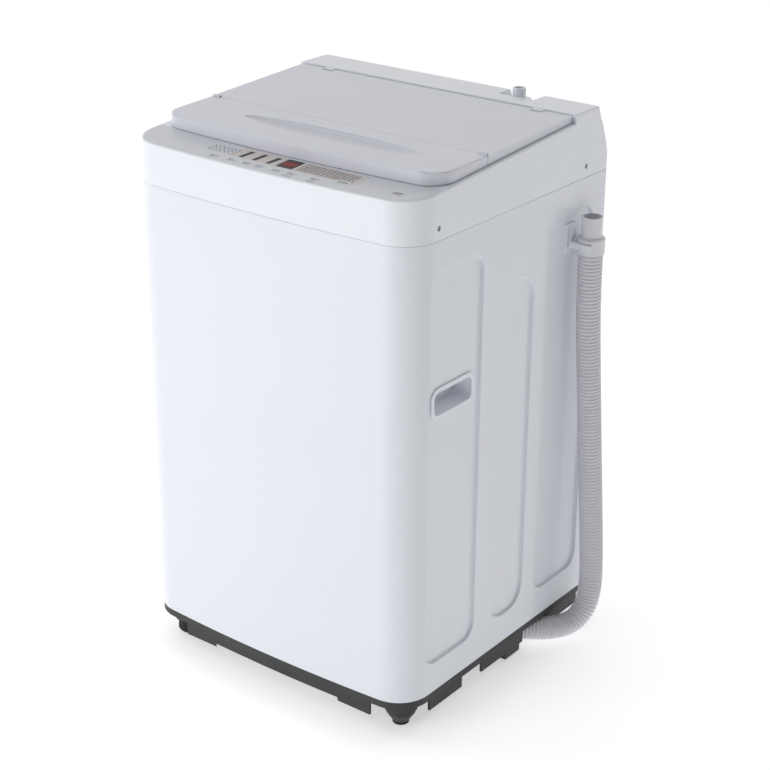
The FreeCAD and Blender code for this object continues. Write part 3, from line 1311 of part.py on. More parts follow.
def hose():
    """The drain hose with its cuff, the clip that holds it and the outlet that it starts from."""
    path = hose_wire(HOSE_ROUTE)
    start, second = Vector(*HOSE_ROUTE[0]), Vector(*HOSE_ROUTE[1])
    section = Part.Wire([Part.Circle(start, second - start, HOSE_RADIUS.value).toShape()])
    tube = doc.addObject("Part::Feature", "hose_tube")
    tube.Shape = path.makePipeShell([section], True, False)
    expected = math.pi * HOSE_RADIUS.value ** 2 * path.Length
    print("hose length %.0f mm, volume ratio %.4f" % (path.Length, tube.Shape.Volume / expected))
    node(tube, "drain_hose")

    x, y, z = HOSE_ROUTE[0]
    cuff_top = z + CUFF_LENGTH
    profile = [
        (SPOUT_BORE, z + 8),
        (SPOUT_BORE, z + 2),
        (0, z + 2),
        (0, z + 0.3),
        (CUFF_RADIUS, z + 0.3),
        (CUFF_RADIUS, cuff_top - 2),
        (SPOUT_RADIUS + 2, cuff_top),
        (SPOUT_RADIUS, cuff_top),
        (SPOUT_RADIUS, cuff_top + SPOUT_LENGTH),
        (SPOUT_BORE, cuff_top + SPOUT_LENGTH),
    ]
    node(turned("cuff", profile, x, y), "hose_cuff")

    low_z, high_z = z + 9, z + 19
    band_radius = CUFF_RADIUS + 3
    plate = block("clip_plate", RECESS_FLOOR, RECESS_FLOOR + 3, y - 34, y - 8, z + 2, z + 48)
    arm = block("clip_arm", RECESS_FLOOR + 1, x, y - 22, y - 6, low_z, high_z)
    band = rod("clip_band", band_radius, high_z - low_z, x, y, low_z)
    hole = rod("clip_hole", CUFF_RADIUS + 0.3, 60, x, y, z)
    window = block("clip_window", RECESS_FLOOR - 1, RECESS_FLOOR + 5, y - 29, y - 23, z + 13, z + 42)
    mouth = block("clip_mouth", x + 12, x + 40, y - 30, y + 30, z, z + 60)
    node(cut("clip", fuse("clip_solid", plate, arm, band), hole, window, mouth), "hose_clip")

    end_x, end_y, end_z = HOSE_ROUTE[-1]
    parts = []
    for name, radius in (("outlet", OUTLET_RADIUS), ("outlet_bore", OUTLET_RADIUS - 3)):
        level = rod(name + "_level", radius, math.sqrt(2) * (end_x - DRAIN_X), DRAIN_X, DRAIN_Y, OUTLET_Z)
        level.Placement = Placement(Vector(), Rotation(Vector(0, 0, 1), Vector(1, 1, 0)))
        place(level, DRAIN_X, DRAIN_Y, OUTLET_Z, Rotation(Vector(0, 0, 1), Vector(1, 1, 0)))
        upright = rod(name + "_up", radius, 35, DRAIN_X, DRAIN_Y, OUTLET_Z)
        parts.append(fuse(name + "_pipe", level, upright, ball(name + "_elbow", radius, DRAIN_X, DRAIN_Y, OUTLET_Z)))
    node(cut("outlet_pipe", *parts), "hose_outlet")


# ---------------------------------------------------------------- build and write

def build():
    """Make every sub-part in the document."""
    for make in (cabinet, base, top_frame, controls, water_inlet, lid, tub, basket, pulsator, drive, suspension, hose):
        make()


def check():
    """Stop when any object failed, or when a sub-part has no valid solid."""
    for item in doc.Objects:
        if "Invalid" in item.State or "Error" in item.State:
            raise RuntimeError("%s failed: %s" % (item.Name, item.State))
    for name, item in NODES:
        shape = item.Shape
        if shape.isNull() or not shape.isValid() or not shape.Solids:
            raise RuntimeError("%s has no valid solid" % name)


def write():
    """Write each sub-part's shape to its own STEP file."""
    os.makedirs("parts", exist_ok=True)
    for name, item in NODES:
        item.Shape.exportStep("parts/%s.step" % name)


build()
doc.recompute()
check()
write()
print("%d sub-parts written" % len(NODES))
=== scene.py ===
"""Finished look of a top load washing machine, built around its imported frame."""

import json
import logging
import math
import random
from dataclasses import dataclass, field
from enum import Enum
from typing import Callable, Optional, Sequence

import bmesh
import bpy
from mathutils import Matrix, Vector


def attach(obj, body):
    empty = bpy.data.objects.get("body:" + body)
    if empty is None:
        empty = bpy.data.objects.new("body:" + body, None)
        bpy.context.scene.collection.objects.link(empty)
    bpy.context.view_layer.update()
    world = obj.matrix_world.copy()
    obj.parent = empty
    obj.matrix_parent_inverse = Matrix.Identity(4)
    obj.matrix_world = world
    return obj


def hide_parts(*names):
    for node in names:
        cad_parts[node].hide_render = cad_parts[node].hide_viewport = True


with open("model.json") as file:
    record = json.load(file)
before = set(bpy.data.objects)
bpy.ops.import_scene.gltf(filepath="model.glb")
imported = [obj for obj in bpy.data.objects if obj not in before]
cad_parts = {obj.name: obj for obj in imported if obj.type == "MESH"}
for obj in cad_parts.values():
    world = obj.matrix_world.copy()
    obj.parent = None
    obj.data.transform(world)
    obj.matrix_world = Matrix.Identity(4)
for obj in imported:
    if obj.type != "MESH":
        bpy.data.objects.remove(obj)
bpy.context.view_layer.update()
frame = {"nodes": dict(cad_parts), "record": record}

LOG = logging.getLogger("washer")
BODY_OF = {node: body for body, nodes in frame["record"]["behaviour"]["bodies"].items() for node in nodes}
Colour = tuple[float, float, float, float]
Point = tuple[float, float, float]
Test = Callable[[Vector], bool]


# ---------------------------------------------------------------- finishes


class Grain(Enum):
    """Surface relief that a finish can carry."""

    NONE = "none"
    FINE = "fine"
    PEEL = "peel"
    BRUSHED = "brushed"
    # PERFORATED also paints its holes near black, as painted shade.
    PERFORATED = "perforated"


def srgb(red: int, green: int, blue: int) -> Colour:
    """Turn an 8 bit sRGB colour into linear light.

    Args:
        red: Red, 0 to 255.
        green: Green, 0 to 255.
        blue: Blue, 0 to 255.

    Returns:
        The linear colour with full alpha.
    """
    def linear(value: int) -> float:
        """One channel in linear light."""
        share = value / 255
        return share / 12.92 if share <= 0.04045 else ((share + 0.055) / 1.055) ** 2.4

    return (linear(red), linear(green), linear(blue), 1.0)


@dataclass(frozen=True)
class Finish:
    """One procedural surface finish.

    Attributes:
        name: Name of the material.
        colour: Main colour, linear.
        shade: Second colour that the first drifts towards.
        roughness: Lowest roughness.
        spread: How much rougher the roughest patches are.
        metallic: 1 for bare metal.
        coat: Weight of a clear gloss layer.
        grain: Kind of relief.
        relief: Depth of the relief in metres.
        patch: Size of the colour drift, in cycles per metre.
        glow: Strength of emitted light.
    """

    name: str
    colour: Colour
    shade: Colour
    roughness: float = 0.4
    spread: float = 0.1
    metallic: float = 0.0
    coat: float = 0.0
    grain: Grain = Grain.FINE
    relief: float = 0.00002
    patch: float = 9.0
    glow: float = 0.0

    def build(self) -> bpy.types.Material:
        """Make the material, once.

        Returns:
            The material, with its colour, roughness and relief from nodes.
        """
        found = bpy.data.materials.get(self.name)
        if found:
            return found
        material = bpy.data.materials.new(self.name)
        material.use_nodes = True
        nodes, links = material.node_tree.nodes, material.node_tree.links
        shader = nodes["Principled BSDF"]
        shader.inputs["Metallic"].default_value = self.metallic
        shader.inputs["Coat Weight"].default_value = self.coat
        shader.inputs["Coat Roughness"].default_value = 0.08
        if self.glow:
            shader.inputs["Emission Color"].default_value = self.colour
            shader.inputs["Emission Strength"].default_value = self.glow
        place = nodes.new("ShaderNodeTexCoord").outputs["Object"]

        drift = nodes.new("ShaderNodeTexNoise")
        drift.inputs["Scale"].default_value = self.patch
        drift.inputs["Detail"].default_value = 6.0
        links.new(place, drift.inputs["Vector"])
        mix = nodes.new("ShaderNodeMix")
        mix.data_type = "RGBA"
        mix.inputs[6].default_value = self.colour
        mix.inputs[7].default_value = self.shade
        links.new(drift.outputs["Fac"], mix.inputs[0])
        links.new(mix.outputs[2], shader.inputs["Base Color"])

        rough = nodes.new("ShaderNodeMapRange")
        rough.inputs["From Min"].default_value = 0.3
        rough.inputs["From Max"].default_value = 0.7
        rough.inputs["To Min"].default_value = self.roughness
        rough.inputs["To Max"].default_value = self.roughness + self.spread
        links.new(drift.outputs["Fac"], rough.inputs["Value"])
        links.new(rough.outputs["Result"], shader.inputs["Roughness"])
        if self.grain is not Grain.NONE:
            self.add_relief(nodes, links, shader, place, mix)
        return material

    def add_relief(
        self,
        nodes: bpy.types.Nodes,
        links: bpy.types.NodeLinks,
        shader: bpy.types.Node,
        place: bpy.types.NodeSocket,
        mix: bpy.types.Node,
    ) -> None:
        """Add the finish's relief to its material.

        Args:
            nodes: The material's nodes.
            links: The material's links.
            shader: The shader that takes the relief.
            place: Object coordinates.
            mix: The colour mix, which the painted shade in the perforations darkens.
        """
        bump = nodes.new("ShaderNodeBump")
        bump.inputs["Distance"].default_value = self.relief
        bump.inputs["Strength"].default_value = 0.6
        links.new(bump.outputs["Normal"], shader.inputs["Normal"])
        if self.grain is Grain.PERFORATED:
            self.add_holes(nodes, links, shader, place, mix, bump)
            return
        noise = nodes.new("ShaderNodeTexNoise")
        noise.inputs["Detail"].default_value = 3.0
        scales = {Grain.FINE: 1400.0, Grain.PEEL: 260.0, Grain.BRUSHED: 900.0}
        noise.inputs["Scale"].default_value = scales[self.grain]
        stretch = nodes.new("ShaderNodeMapping")
        if self.grain is Grain.BRUSHED:
            stretch.inputs["Scale"].default_value = (0.02, 0.02, 1.0)
        links.new(place, stretch.inputs["Vector"])
        links.new(stretch.outputs["Vector"], noise.inputs["Vector"])
        links.new(noise.outputs["Fac"], bump.inputs["Height"])

    def add_holes(
        self,
        nodes: bpy.types.Nodes,
        links: bpy.types.NodeLinks,
        shader: bpy.types.Node,
        place: bpy.types.NodeSocket,
        mix: bpy.types.Node,
        bump: bpy.types.Node,
    ) -> None:
        """Punch rows of small round holes round a drum's upright axis, and paint each hole near black as
        painted shade of the gap seen through it.

        Args:
            nodes: The material's nodes.
            links: The material's links.
            shader: The shader whose colour the painted hole shade darkens.
            place: Object coordinates.
            mix: The colour mix below the holes.
            bump: The relief that takes the holes.
        """
        axes = nodes.new("ShaderNodeSeparateXYZ")
        links.new(place, axes.inputs["Vector"])

        def maths(operation: str, first: object, second: object = 0.0) -> bpy.types.NodeSocket:
            """Join two sockets or numbers by one operation.

            Args:
                operation: Name of the operation.
                first: A socket or a number.
                second: A socket or a number.

            Returns:
                The result's socket.
            """
            node = nodes.new("ShaderNodeMath")
            node.operation = operation
            for number, item in enumerate((first, second)):
                if isinstance(item, bpy.types.NodeSocket):
                    links.new(item, node.inputs[number])
                else:
                    node.inputs[number].default_value = item
            return node.outputs[0]

        turn = maths("ARCTAN2", axes.outputs["Y"], axes.outputs["X"])
        across = maths("MULTIPLY", turn, 72 / (2 * math.pi))
        up = maths("MULTIPLY", axes.outputs["Z"], 1 / 0.018)
        row = maths("MULTIPLY", maths("MODULO", maths("FLOOR", up), 2.0), 0.5)
        cell_x = maths("SUBTRACT", maths("FRACT", maths("ADD", maths("ADD", across, row), 100.0)), 0.5)
        cell_y = maths("SUBTRACT", maths("FRACT", up), 0.5)
        square_x = maths("POWER", maths("ABSOLUTE", cell_x), 2.0)
        square_y = maths("POWER", maths("ABSOLUTE", cell_y), 2.0)
        square = maths("ADD", square_x, square_y)
        hole = maths("LESS_THAN", square, 0.022)
        # Each hole is painted near black: painted shade of the gap seen through the hole.
        dark = nodes.new("ShaderNodeMix")
        dark.data_type = "RGBA"
        dark.inputs[7].default_value = (0.01, 0.01, 0.012, 1.0)
        links.new(mix.outputs[2], dark.inputs[6])
        links.new(hole, dark.inputs[0])
        links.new(dark.outputs[2], shader.inputs["Base Color"])
        links.new(maths("SUBTRACT", 1.0, hole), bump.inputs["Height"])


CABINET_PAINT = Finish(
    "cabinet_paint", srgb(235, 238, 245), srgb(232, 235, 242),
    0.28, 0.05, coat=0.35, grain=Grain.PEEL, relief=0.000012
)
FRAME_PLASTIC = Finish(
    "frame_plastic", srgb(240, 243, 249), srgb(236, 239, 246), 0.30, 0.06, coat=0.2, relief=0.00001
)
LID_PLASTIC = Finish(
    "lid_plastic", srgb(230, 232, 240), srgb(226, 228, 237), 0.34, 0.06, coat=0.2, relief=0.00001
)
BASE_PLASTIC = Finish("base_plastic", srgb(56, 57, 58), srgb(50, 51, 52), 0.5, 0.12, relief=0.00005)
PANEL_FILM = Finish(
    "panel_film", srgb(232, 234, 239), srgb(228, 230, 236), 0.32, 0.05, coat=0.3, relief=0.000008
)
HOSE_PLASTIC = Finish(
    "hose_plastic", srgb(232, 231, 236), srgb(226, 225, 230), 0.42, 0.1, relief=0.00002, patch=30.0
)
CUFF_PLASTIC = Finish(
    "cuff_plastic", srgb(236, 236, 240), srgb(232, 232, 236), 0.38, 0.08, relief=0.00002
)
STEEL = Finish(
    "plated_steel", srgb(170, 172, 176), srgb(150, 152, 156), 0.3, 0.15, 1.0, grain=Grain.BRUSHED
)
# Perforated steel: the holes carry painted shade, near black, besides their relief.
DRUM_STEEL = Finish(
    "drum_steel", srgb(200, 201, 204), srgb(188, 189, 193),
    0.25, 0.1, 1.0, grain=Grain.PERFORATED, relief=0.0006
)
TUB_PLASTIC = Finish("tub_plastic", srgb(226, 228, 231), srgb(218, 220, 224), 0.45, 0.1)
GREY_PLASTIC = Finish("grey_plastic", srgb(168, 170, 175), srgb(158, 160, 166), 0.45, 0.1)
RUBBER = Finish("black_rubber", srgb(38, 38, 39), srgb(30, 30, 31), 0.7, 0.15, relief=0.00006)
CAST_METAL = Finish(
    "cast_metal", srgb(165, 166, 170), srgb(150, 151, 156), 0.45, 0.15, 1.0, relief=0.0001
)
NYLON = Finish("nylon", srgb(228, 227, 220), srgb(220, 219, 211), 0.5, 0.1)
BOARD_GREEN = Finish("board_green", srgb(40, 92, 60), srgb(34, 80, 52), 0.4, 0.1)
DISPLAY_GLASS = Finish(
    "display_glass", srgb(24, 12, 12), srgb(20, 9, 9), 0.35, 0.04, grain=Grain.NONE
)
INK_DARK = Finish("ink_dark", srgb(40, 40, 46), srgb(34, 34, 40), 0.5, 0.1, grain=Grain.NONE)
INK_GREY = Finish("ink_grey", srgb(74, 76, 86), srgb(66, 68, 78), 0.5, 0.1, grain=Grain.NONE)
INK_BEIGE = Finish(
    "ink_beige", srgb(222, 214, 212), srgb(216, 208, 207), 0.4, 0.1, grain=Grain.NONE
)
INK_BLACK = Finish("ink_black", srgb(22, 20, 22), srgb(18, 16, 18), 0.4, 0.1, grain=Grain.NONE)
INK_LILAC = Finish(
    "ink_lilac", srgb(150, 146, 190), srgb(142, 138, 182), 0.5, 0.1, grain=Grain.NONE
)
SMOKED_RED = Finish("smoked_red", srgb(118, 36, 32), srgb(108, 30, 27), 0.5, 0.05, grain=Grain.NONE)
GLOW_RED = Finish(
    "glow_red", srgb(176, 58, 48), srgb(168, 52, 42), 0.4, 0.1, grain=Grain.NONE, glow=0.25
)
FLOOR_PAINT = Finish(
    "floor_paint", srgb(250, 250, 250), srgb(248, 248, 248), 0.6, 0.1, grain=Grain.NONE, glow=0.5
)


# ---------------------------------------------------------------- modelling by operators


def only(piece: bpy.types.Object) -> None:
    """Select one piece alone and make it active.

    Args:
        piece: The piece.
    """
    bpy.ops.object.select_all(action="DESELECT")
    piece.hide_set(False)
    piece.select_set(True)
    bpy.context.view_layer.objects.active = piece


def pick_edges(piece: bpy.types.Object, test: Callable[[bmesh.types.BMEdge], bool]) -> int:
    """Select the edges of a piece in edit mode that pass a test, and no others.

    Args:
        piece: The piece, in edit mode.
        test: Says whether an edge is wanted.

    Returns:
        How many edges were selected.
    """
    bpy.ops.mesh.select_mode(type="EDGE")
    bpy.ops.mesh.select_all(action="DESELECT")
    mesh = bmesh.from_edit_mesh(piece.data)
    count = 0
    for edge in mesh.edges:
        if test(edge):
            edge.select_set(True)
            count += 1
    bmesh.update_edit_mesh(piece.data)
    return count


def sharp(edge: bmesh.types.BMEdge, degrees: float = 35.0) -> bool:
    """Whether two faces meet at an edge with more than a given turn."""
    return len(edge.link_faces) == 2 and edge.calc_face_angle() > math.radians(degrees)


def middle(edge: bmesh.types.BMEdge) -> Vector:
    """The middle of an edge."""
    return (edge.verts[0].co + edge.verts[1].co) / 2


def finish_mesh(piece: bpy.types.Object, degrees: float = 30.0) -> None:
    """Shade a piece smooth up to an angle and weight its normals by face area.

    Args:
        piece: The piece.
        degrees: Turns sharper than this stay sharp.
    """
    only(piece)
    bpy.ops.object.shade_smooth_by_angle(angle=math.radians(degrees))
    weigh = piece.modifiers.new("weights", "WEIGHTED_NORMAL")
    weigh.keep_sharp = True
    bpy.ops.object.modifier_apply(modifier=weigh.name)


def add_piece(
    piece: bpy.types.Object, finish: Finish, nodes: Sequence[str], near: Optional[str] = None
) -> bpy.types.Object:
    """Dress a piece, let it ride on its nodes' body and hide the nodes that it stands for.

    Args:
        piece: The piece.
        finish: Its finish.
        nodes: The frame nodes that it replaces.
        near: For a piece that replaces nothing, the node whose body it shares.

    Returns:
        The piece.
    """
    piece.data.materials.clear()
    piece.data.materials.append(finish.build())
    owner = near or nodes[0]
    body = BODY_OF[owner]
    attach(piece, body)
    if nodes:
        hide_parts(*nodes)
    LOG.info("%s: %d faces on %s", piece.name, len(piece.data.polygons), body)
    return piece


def merged_copy(node: str, name: str, joined_faces: bool = True) -> bpy.types.Object:
    """Copy a frame node and join its loose triangles into clean faces.

    Args:
        node: The frame node.
        name: The new piece's name.
        joined_faces: Whether flat neighbouring triangles become one face.

    Returns:
        The new piece.
    """
    source = frame["nodes"][node]
    piece = bpy.data.objects.new(name, source.data.copy())
    bpy.context.scene.collection.objects.link(piece)
    only(piece)
    if piece.data.has_custom_normals:
        bpy.ops.mesh.customdata_custom_splitnormals_clear()
    bpy.ops.object.mode_set(mode="EDIT")
    bpy.ops.mesh.select_all(action="SELECT")
    bpy.ops.mesh.remove_doubles(threshold=0.000005)
    if joined_faces:
        bpy.ops.mesh.dissolve_limited(angle_limit=math.radians(0.2))
    bpy.ops.object.mode_set(mode="OBJECT")
    return piece


def join(pieces: Sequence[bpy.types.Object]) -> bpy.types.Object:
    """Join pieces into the first of them.

    Args:
        pieces: The pieces.

    Returns:
        The first piece, which now holds the others.
    """
    bpy.ops.object.select_all(action="DESELECT")
    for piece in pieces:
        piece.select_set(True)
    bpy.context.view_layer.objects.active = pieces[0]
    if len(pieces) > 1:
        bpy.ops.object.join()
    return pieces[0]


def bevel(
    piece: bpy.types.Object,
    where: Test,
    width: float,
    segments: int = 3,
    degrees: float = 35.0,
    clamp: bool = False,
) -> None:
    """Round the sharp edges of a piece that lie in a region.

    Args:
        piece: The piece.
        where: Says whether an edge's middle is in the region.
        width: Width of the rounding in metres.
        segments: Steps across the rounding.
        degrees: Least turn of an edge that is rounded.
        clamp: Whether the width gives way where roundings would meet.
    """
    only(piece)
    bpy.ops.object.mode_set(mode="EDIT")
    if pick_edges(piece, lambda edge: sharp(edge, degrees) and where(middle(edge))):
        bpy.ops.mesh.bevel(offset=width, segments=segments, affect="EDGES", clamp_overlap=clamp, profile=0.5)
    bpy.ops.object.mode_set(mode="OBJECT")


def refined(
    node: str, finish: Finish, width: float = 0.0005, segments: int = 2, degrees: float = 35.0
) -> bpy.types.Object:
    """A frame node's finished twin, with every sharp edge softened.

    Args:
        node: The frame node.
        finish: Its finish.
        width: Width of the rounding in metres.
        segments: Steps across the rounding.
        degrees: Least turn of an edge that is rounded.

    Returns:
        The finished piece.
    """
    piece = merged_copy(node, node + "_finished")
    only(piece)
    soften = piece.modifiers.new("soften", "BEVEL")
    soften.width = width
    soften.segments = segments
    soften.limit_method = "ANGLE"
    soften.angle_limit = math.radians(degrees)
    soften.use_clamp_overlap = True
    bpy.ops.object.modifier_apply(modifier=soften.name)
    finish_mesh(piece)
    return add_piece(piece, finish, [node])


# ---------------------------------------------------------------- camera, light and floor


@dataclass
class Studio:
    """The camera, the soft lights and the pale floor."""

    place: Point = (1.63066, -2.08673, 1.58982)
    turn: float = 37.483
    raise_angle: float = 23.561
    roll: float = 0.425
    lens: float = 84.85
    floor_size: float = 14.0
    side_bright: float = 0.95
    side_dim: float = 0.12
    dim_way: Point = (0.86, -0.51, 0.0)
    lights: tuple[tuple[str, Point, float, float], ...] = (
        ("front_light", (-0.9, -2.7, 1.0), 1.4, 18.5),
        ("left_light", (-1.5, -0.9, 2.7), 0.7, 4.0),
        ("rear_light", (1.0, 2.3, 2.6), 0.7, 4.0),
    )

    def build_camera(self) -> None:
        """Set up the camera at the reference viewing angle."""
        turn, tilt, roll = (math.radians(v) for v in (self.turn, self.raise_angle, self.roll))
        back = Vector((math.sin(turn) * math.cos(tilt), -math.cos(turn) * math.cos(tilt), math.sin(tilt)))
        right = Vector((math.cos(turn), math.sin(turn), 0.0))
        up = back.cross(right)
        across = right * math.cos(roll) + up * math.sin(roll)
        upward = up * math.cos(roll) - right * math.sin(roll)
        data = bpy.data.cameras.new("camera")
        data.lens = self.lens
        data.sensor_width = 36.0
        data.clip_end = 60.0
        camera = bpy.data.objects.new("camera", data)
        bpy.context.scene.collection.objects.link(camera)
        turned = Matrix((across, upward, back)).transposed().to_4x4()
        camera.matrix_world = Matrix.Translation(self.place) @ turned
        bpy.context.scene.camera = camera

    def add_light(self, name: str, place: Point, size: float, power: float) -> None:
        """Add one soft square light that points at the machine's middle.

        Args:
            name: The light's name.
            place: Where it hangs.
            size: Length of its side in metres.
            power: Its power in watts.
        """
        data = bpy.data.lights.new(name, "AREA")
        data.size = size
        data.energy = power
        light = bpy.data.objects.new(name, data)
        bpy.context.scene.collection.objects.link(light)
        light.location = place
        aim = Vector((0.0, 0.0, 0.45)) - Vector(place)
        light.rotation_euler = aim.to_track_quat("-Z", "Y").to_euler()

    def build_sky(self) -> None:
        """Make a white sky that dims evenly towards one side."""
        world = bpy.data.worlds.new("studio")
        world.use_nodes = True
        nodes, links = world.node_tree.nodes, world.node_tree.links
        across = nodes.new("ShaderNodeVectorMath")
        across.operation = "DOT_PRODUCT"
        across.inputs[1].default_value = self.dim_way
        links.new(nodes.new("ShaderNodeTexCoord").outputs["Generated"], across.inputs[0])
        fade = nodes.new("ShaderNodeMapRange")
        fade.inputs["From Min"].default_value = -1.0
        fade.inputs["To Min"].default_value = self.side_bright
        fade.inputs["To Max"].default_value = self.side_dim
        links.new(across.outputs["Value"], fade.inputs["Value"])
        sky = nodes["Background"]
        sky.inputs["Color"].default_value = (1.0, 1.0, 1.0, 1.0)
        links.new(fade.outputs["Result"], sky.inputs["Strength"])
        bpy.context.scene.world = world
        bpy.context.scene.view_settings.view_transform = "Standard"

    def build(self) -> None:
        """Make the camera, the lights, the sky and the floor."""
        self.build_camera()
        self.build_sky()
        for name, place, size, power in self.lights:
            self.add_light(name, place, size, power)
        bpy.ops.object.select_all(action="DESELECT")
        bpy.ops.mesh.primitive_plane_add(size=self.floor_size)
        floor = bpy.context.active_object
        floor.name = "floor"
        floor.data.materials.append(FLOOR_PAINT.build())


# ---------------------------------------------------------------- drain hose


@dataclass
class DrainHose:
    """The corrugated drain hose with its cuff and clip."""

    route: list[Point] = field(
        default_factory=lambda: [
            (0.288, 0.176, 0.672),
            (0.288, 0.176, 0.590),
            (0.292, 0.187, 0.440),
            (0.299, 0.197, 0.270),
            (0.304, 0.204, 0.150),
            (0.307, 0.203, 0.082),
            (0.303, 0.189, 0.042),
            (0.288, 0.165, 0.0215),
            (0.264, 0.128, 0.024),
            (0.246, 0.110, 0.028),
            (0.234, 0.098, 0.028),
        ]
    )
    diameter: float = 0.039
    pitch: float = 0.0058
    groove: float = 0.0026
    sides: int = 36
    length: float = 0.75

    def line(self) -> list[Vector]:
        """Points along the hose's smooth line.

        Returns:
            Points close together, from the outlet in the base to the cuff.
        """
        data = bpy.data.curves.new("hose_line", "CURVE")
        data.dimensions = "3D"
        data.resolution_u = 60
        spline = data.splines.new("NURBS")
        spline.points.add(len(self.route) - 1)
        for point, place in zip(spline.points, reversed(self.route)):
            point.co = (*place, 1.0)
        spline.order_u = 3
        spline.use_endpoint_u = True
        holder = bpy.data.objects.new("hose_line", data)
        bpy.context.scene.collection.objects.link(holder)
        mesh = bpy.data.meshes.new_from_object(holder)
        points = [vertex.co.copy() for vertex in mesh.vertices]
        bpy.data.objects.remove(holder)
        bpy.data.meshes.remove(mesh)
        return points

    def rings(self, points: Sequence[Vector]) -> list[tuple[Vector, Vector, float]]:
        """Evenly spaced stations along the line, four to a rib.

        Args:
            points: The line's points.

        Returns:
            For each station its place, its direction and the hose's radius there.
        """
        step = self.pitch / 4
        stations, along, target = [], 0.0, 0.0
        shape = [0.0, 0.35, 1.0, 0.35]
        for first, second in zip(points, points[1:]):
            span = (second - first).length
            while span > 0 and target <= along + span:
                share = (target - along) / span
                dip = shape[len(stations) % 4] * self.groove
                place = first.lerp(second, share)
                stations.append((place, (second - first).normalized(), self.diameter / 2 - dip))
                target += step
            along += span
        return stations

    def build(self) -> None:
        points = self.line()
        mesh = bmesh.new()
        normal = Vector((0.0, 0.0, 1.0))
        previous: list[bmesh.types.BMVert] = []
        first_ring: list[bmesh.types.BMVert] = []
        for place, forward, radius in self.rings(points):
            normal = (normal - forward * normal.dot(forward)).normalized()
            side = forward.cross(normal)
            ring = []
            for number in range(self.sides):
                angle = 2 * math.pi * number / self.sides
                outwards = normal * math.cos(angle) + side * math.sin(angle)
                ring.append(mesh.verts.new(place + outwards * radius))
            for number in range(self.sides if previous else 0):
                following = (number + 1) % self.sides
                mesh.faces.new((previous[number], previous[following], ring[following], ring[number]))
            first_ring = first_ring or ring
            previous = ring
        mesh.faces.new(list(reversed(first_ring)))
        mesh.faces.new(previous)
        bmesh.ops.recalc_face_normals(mesh, faces=mesh.faces[:])
        data = bpy.data.meshes.new("drain_hose_ribbed")
        mesh.to_mesh(data)
        mesh.free()
        piece = bpy.data.objects.new("drain_hose_ribbed", data)
        bpy.context.scene.collection.objects.link(piece)
        only(piece)
        bpy.ops.object.shade_smooth()
        add_piece(piece, HOSE_PLASTIC, ["drain_hose"])
        cuff = refined("hose_cuff", CUFF_PLASTIC, 0.0006)
        clip = refined("hose_clip", FRAME_PLASTIC)
        length = sum((b - a).length for a, b in zip(points, points[1:]))
        LOG.info("hose length %.3f m", length)


# ---------------------------------------------------------------- cabinet and base


@dataclass(frozen=True)
class Outline:
    """The cabinet's outline from above, with its bowed front and round front corners."""

    half_width: float = 0.265
    half_depth: float = 0.2565
    bow: float = 0.0063
    bow_end: float = 0.2495
    corner_x: float = 0.21
    corner_y: float = -0.1952
    corner_from_x: float = 0.205
    corner_from_y: float = -0.19
    corner_reach: float = 0.0535

    def front(self, x: float) -> float:
        """Place of the bowed front along the depth, at a place across the machine."""
        return self.bow * (x / self.corner_x) ** 2 - self.half_depth

    def in_corner(self, place: Vector) -> bool:
        """Whether a point lies in the region of a front corner."""
        return abs(place.x) > self.corner_from_x and place.y < self.corner_from_y

    def from_corner(self, place: Vector) -> float:
        """Distance of a point from the upright axis of the nearer front corner."""
        return math.hypot(abs(place.x) - self.corner_x, place.y - self.corner_y)

    def on_corner(self, place: Vector) -> bool:
        """Whether a point lies on the outside of a front corner."""
        return self.in_corner(place) and self.from_corner(place) > self.corner_reach


@dataclass(frozen=True)
class Recess:
    """One pressed recess in the cabinet's side.

    Attributes:
        low_y: Its front end.
        high_y: Its rear end.
        low_z: Its bottom.
        high_z: Its top.
        corner: Radius of its corners.
    """

    low_y: float
    high_y: float
    low_z: float
    high_z: float
    corner: float

    def inwards(self, y: float, z: float) -> Optional[tuple[float, float]]:
        """Direction from a point of the outline towards the recess's middle.

        Args:
            y: Place along the depth.
            z: Height.

        Returns:
            The direction, or None where the point isn't on the outline.
        """
        near_y = min(max(y, self.low_y + self.corner), self.high_y - self.corner)
        near_z = min(max(z, self.low_z + self.corner), self.high_z - self.corner)
        gap_y, gap_z = near_y - y, near_z - z
        reach = math.hypot(gap_y, gap_z)
        if abs(reach - self.corner) > 0.0004:
            return None
        return gap_y / reach, gap_z / reach


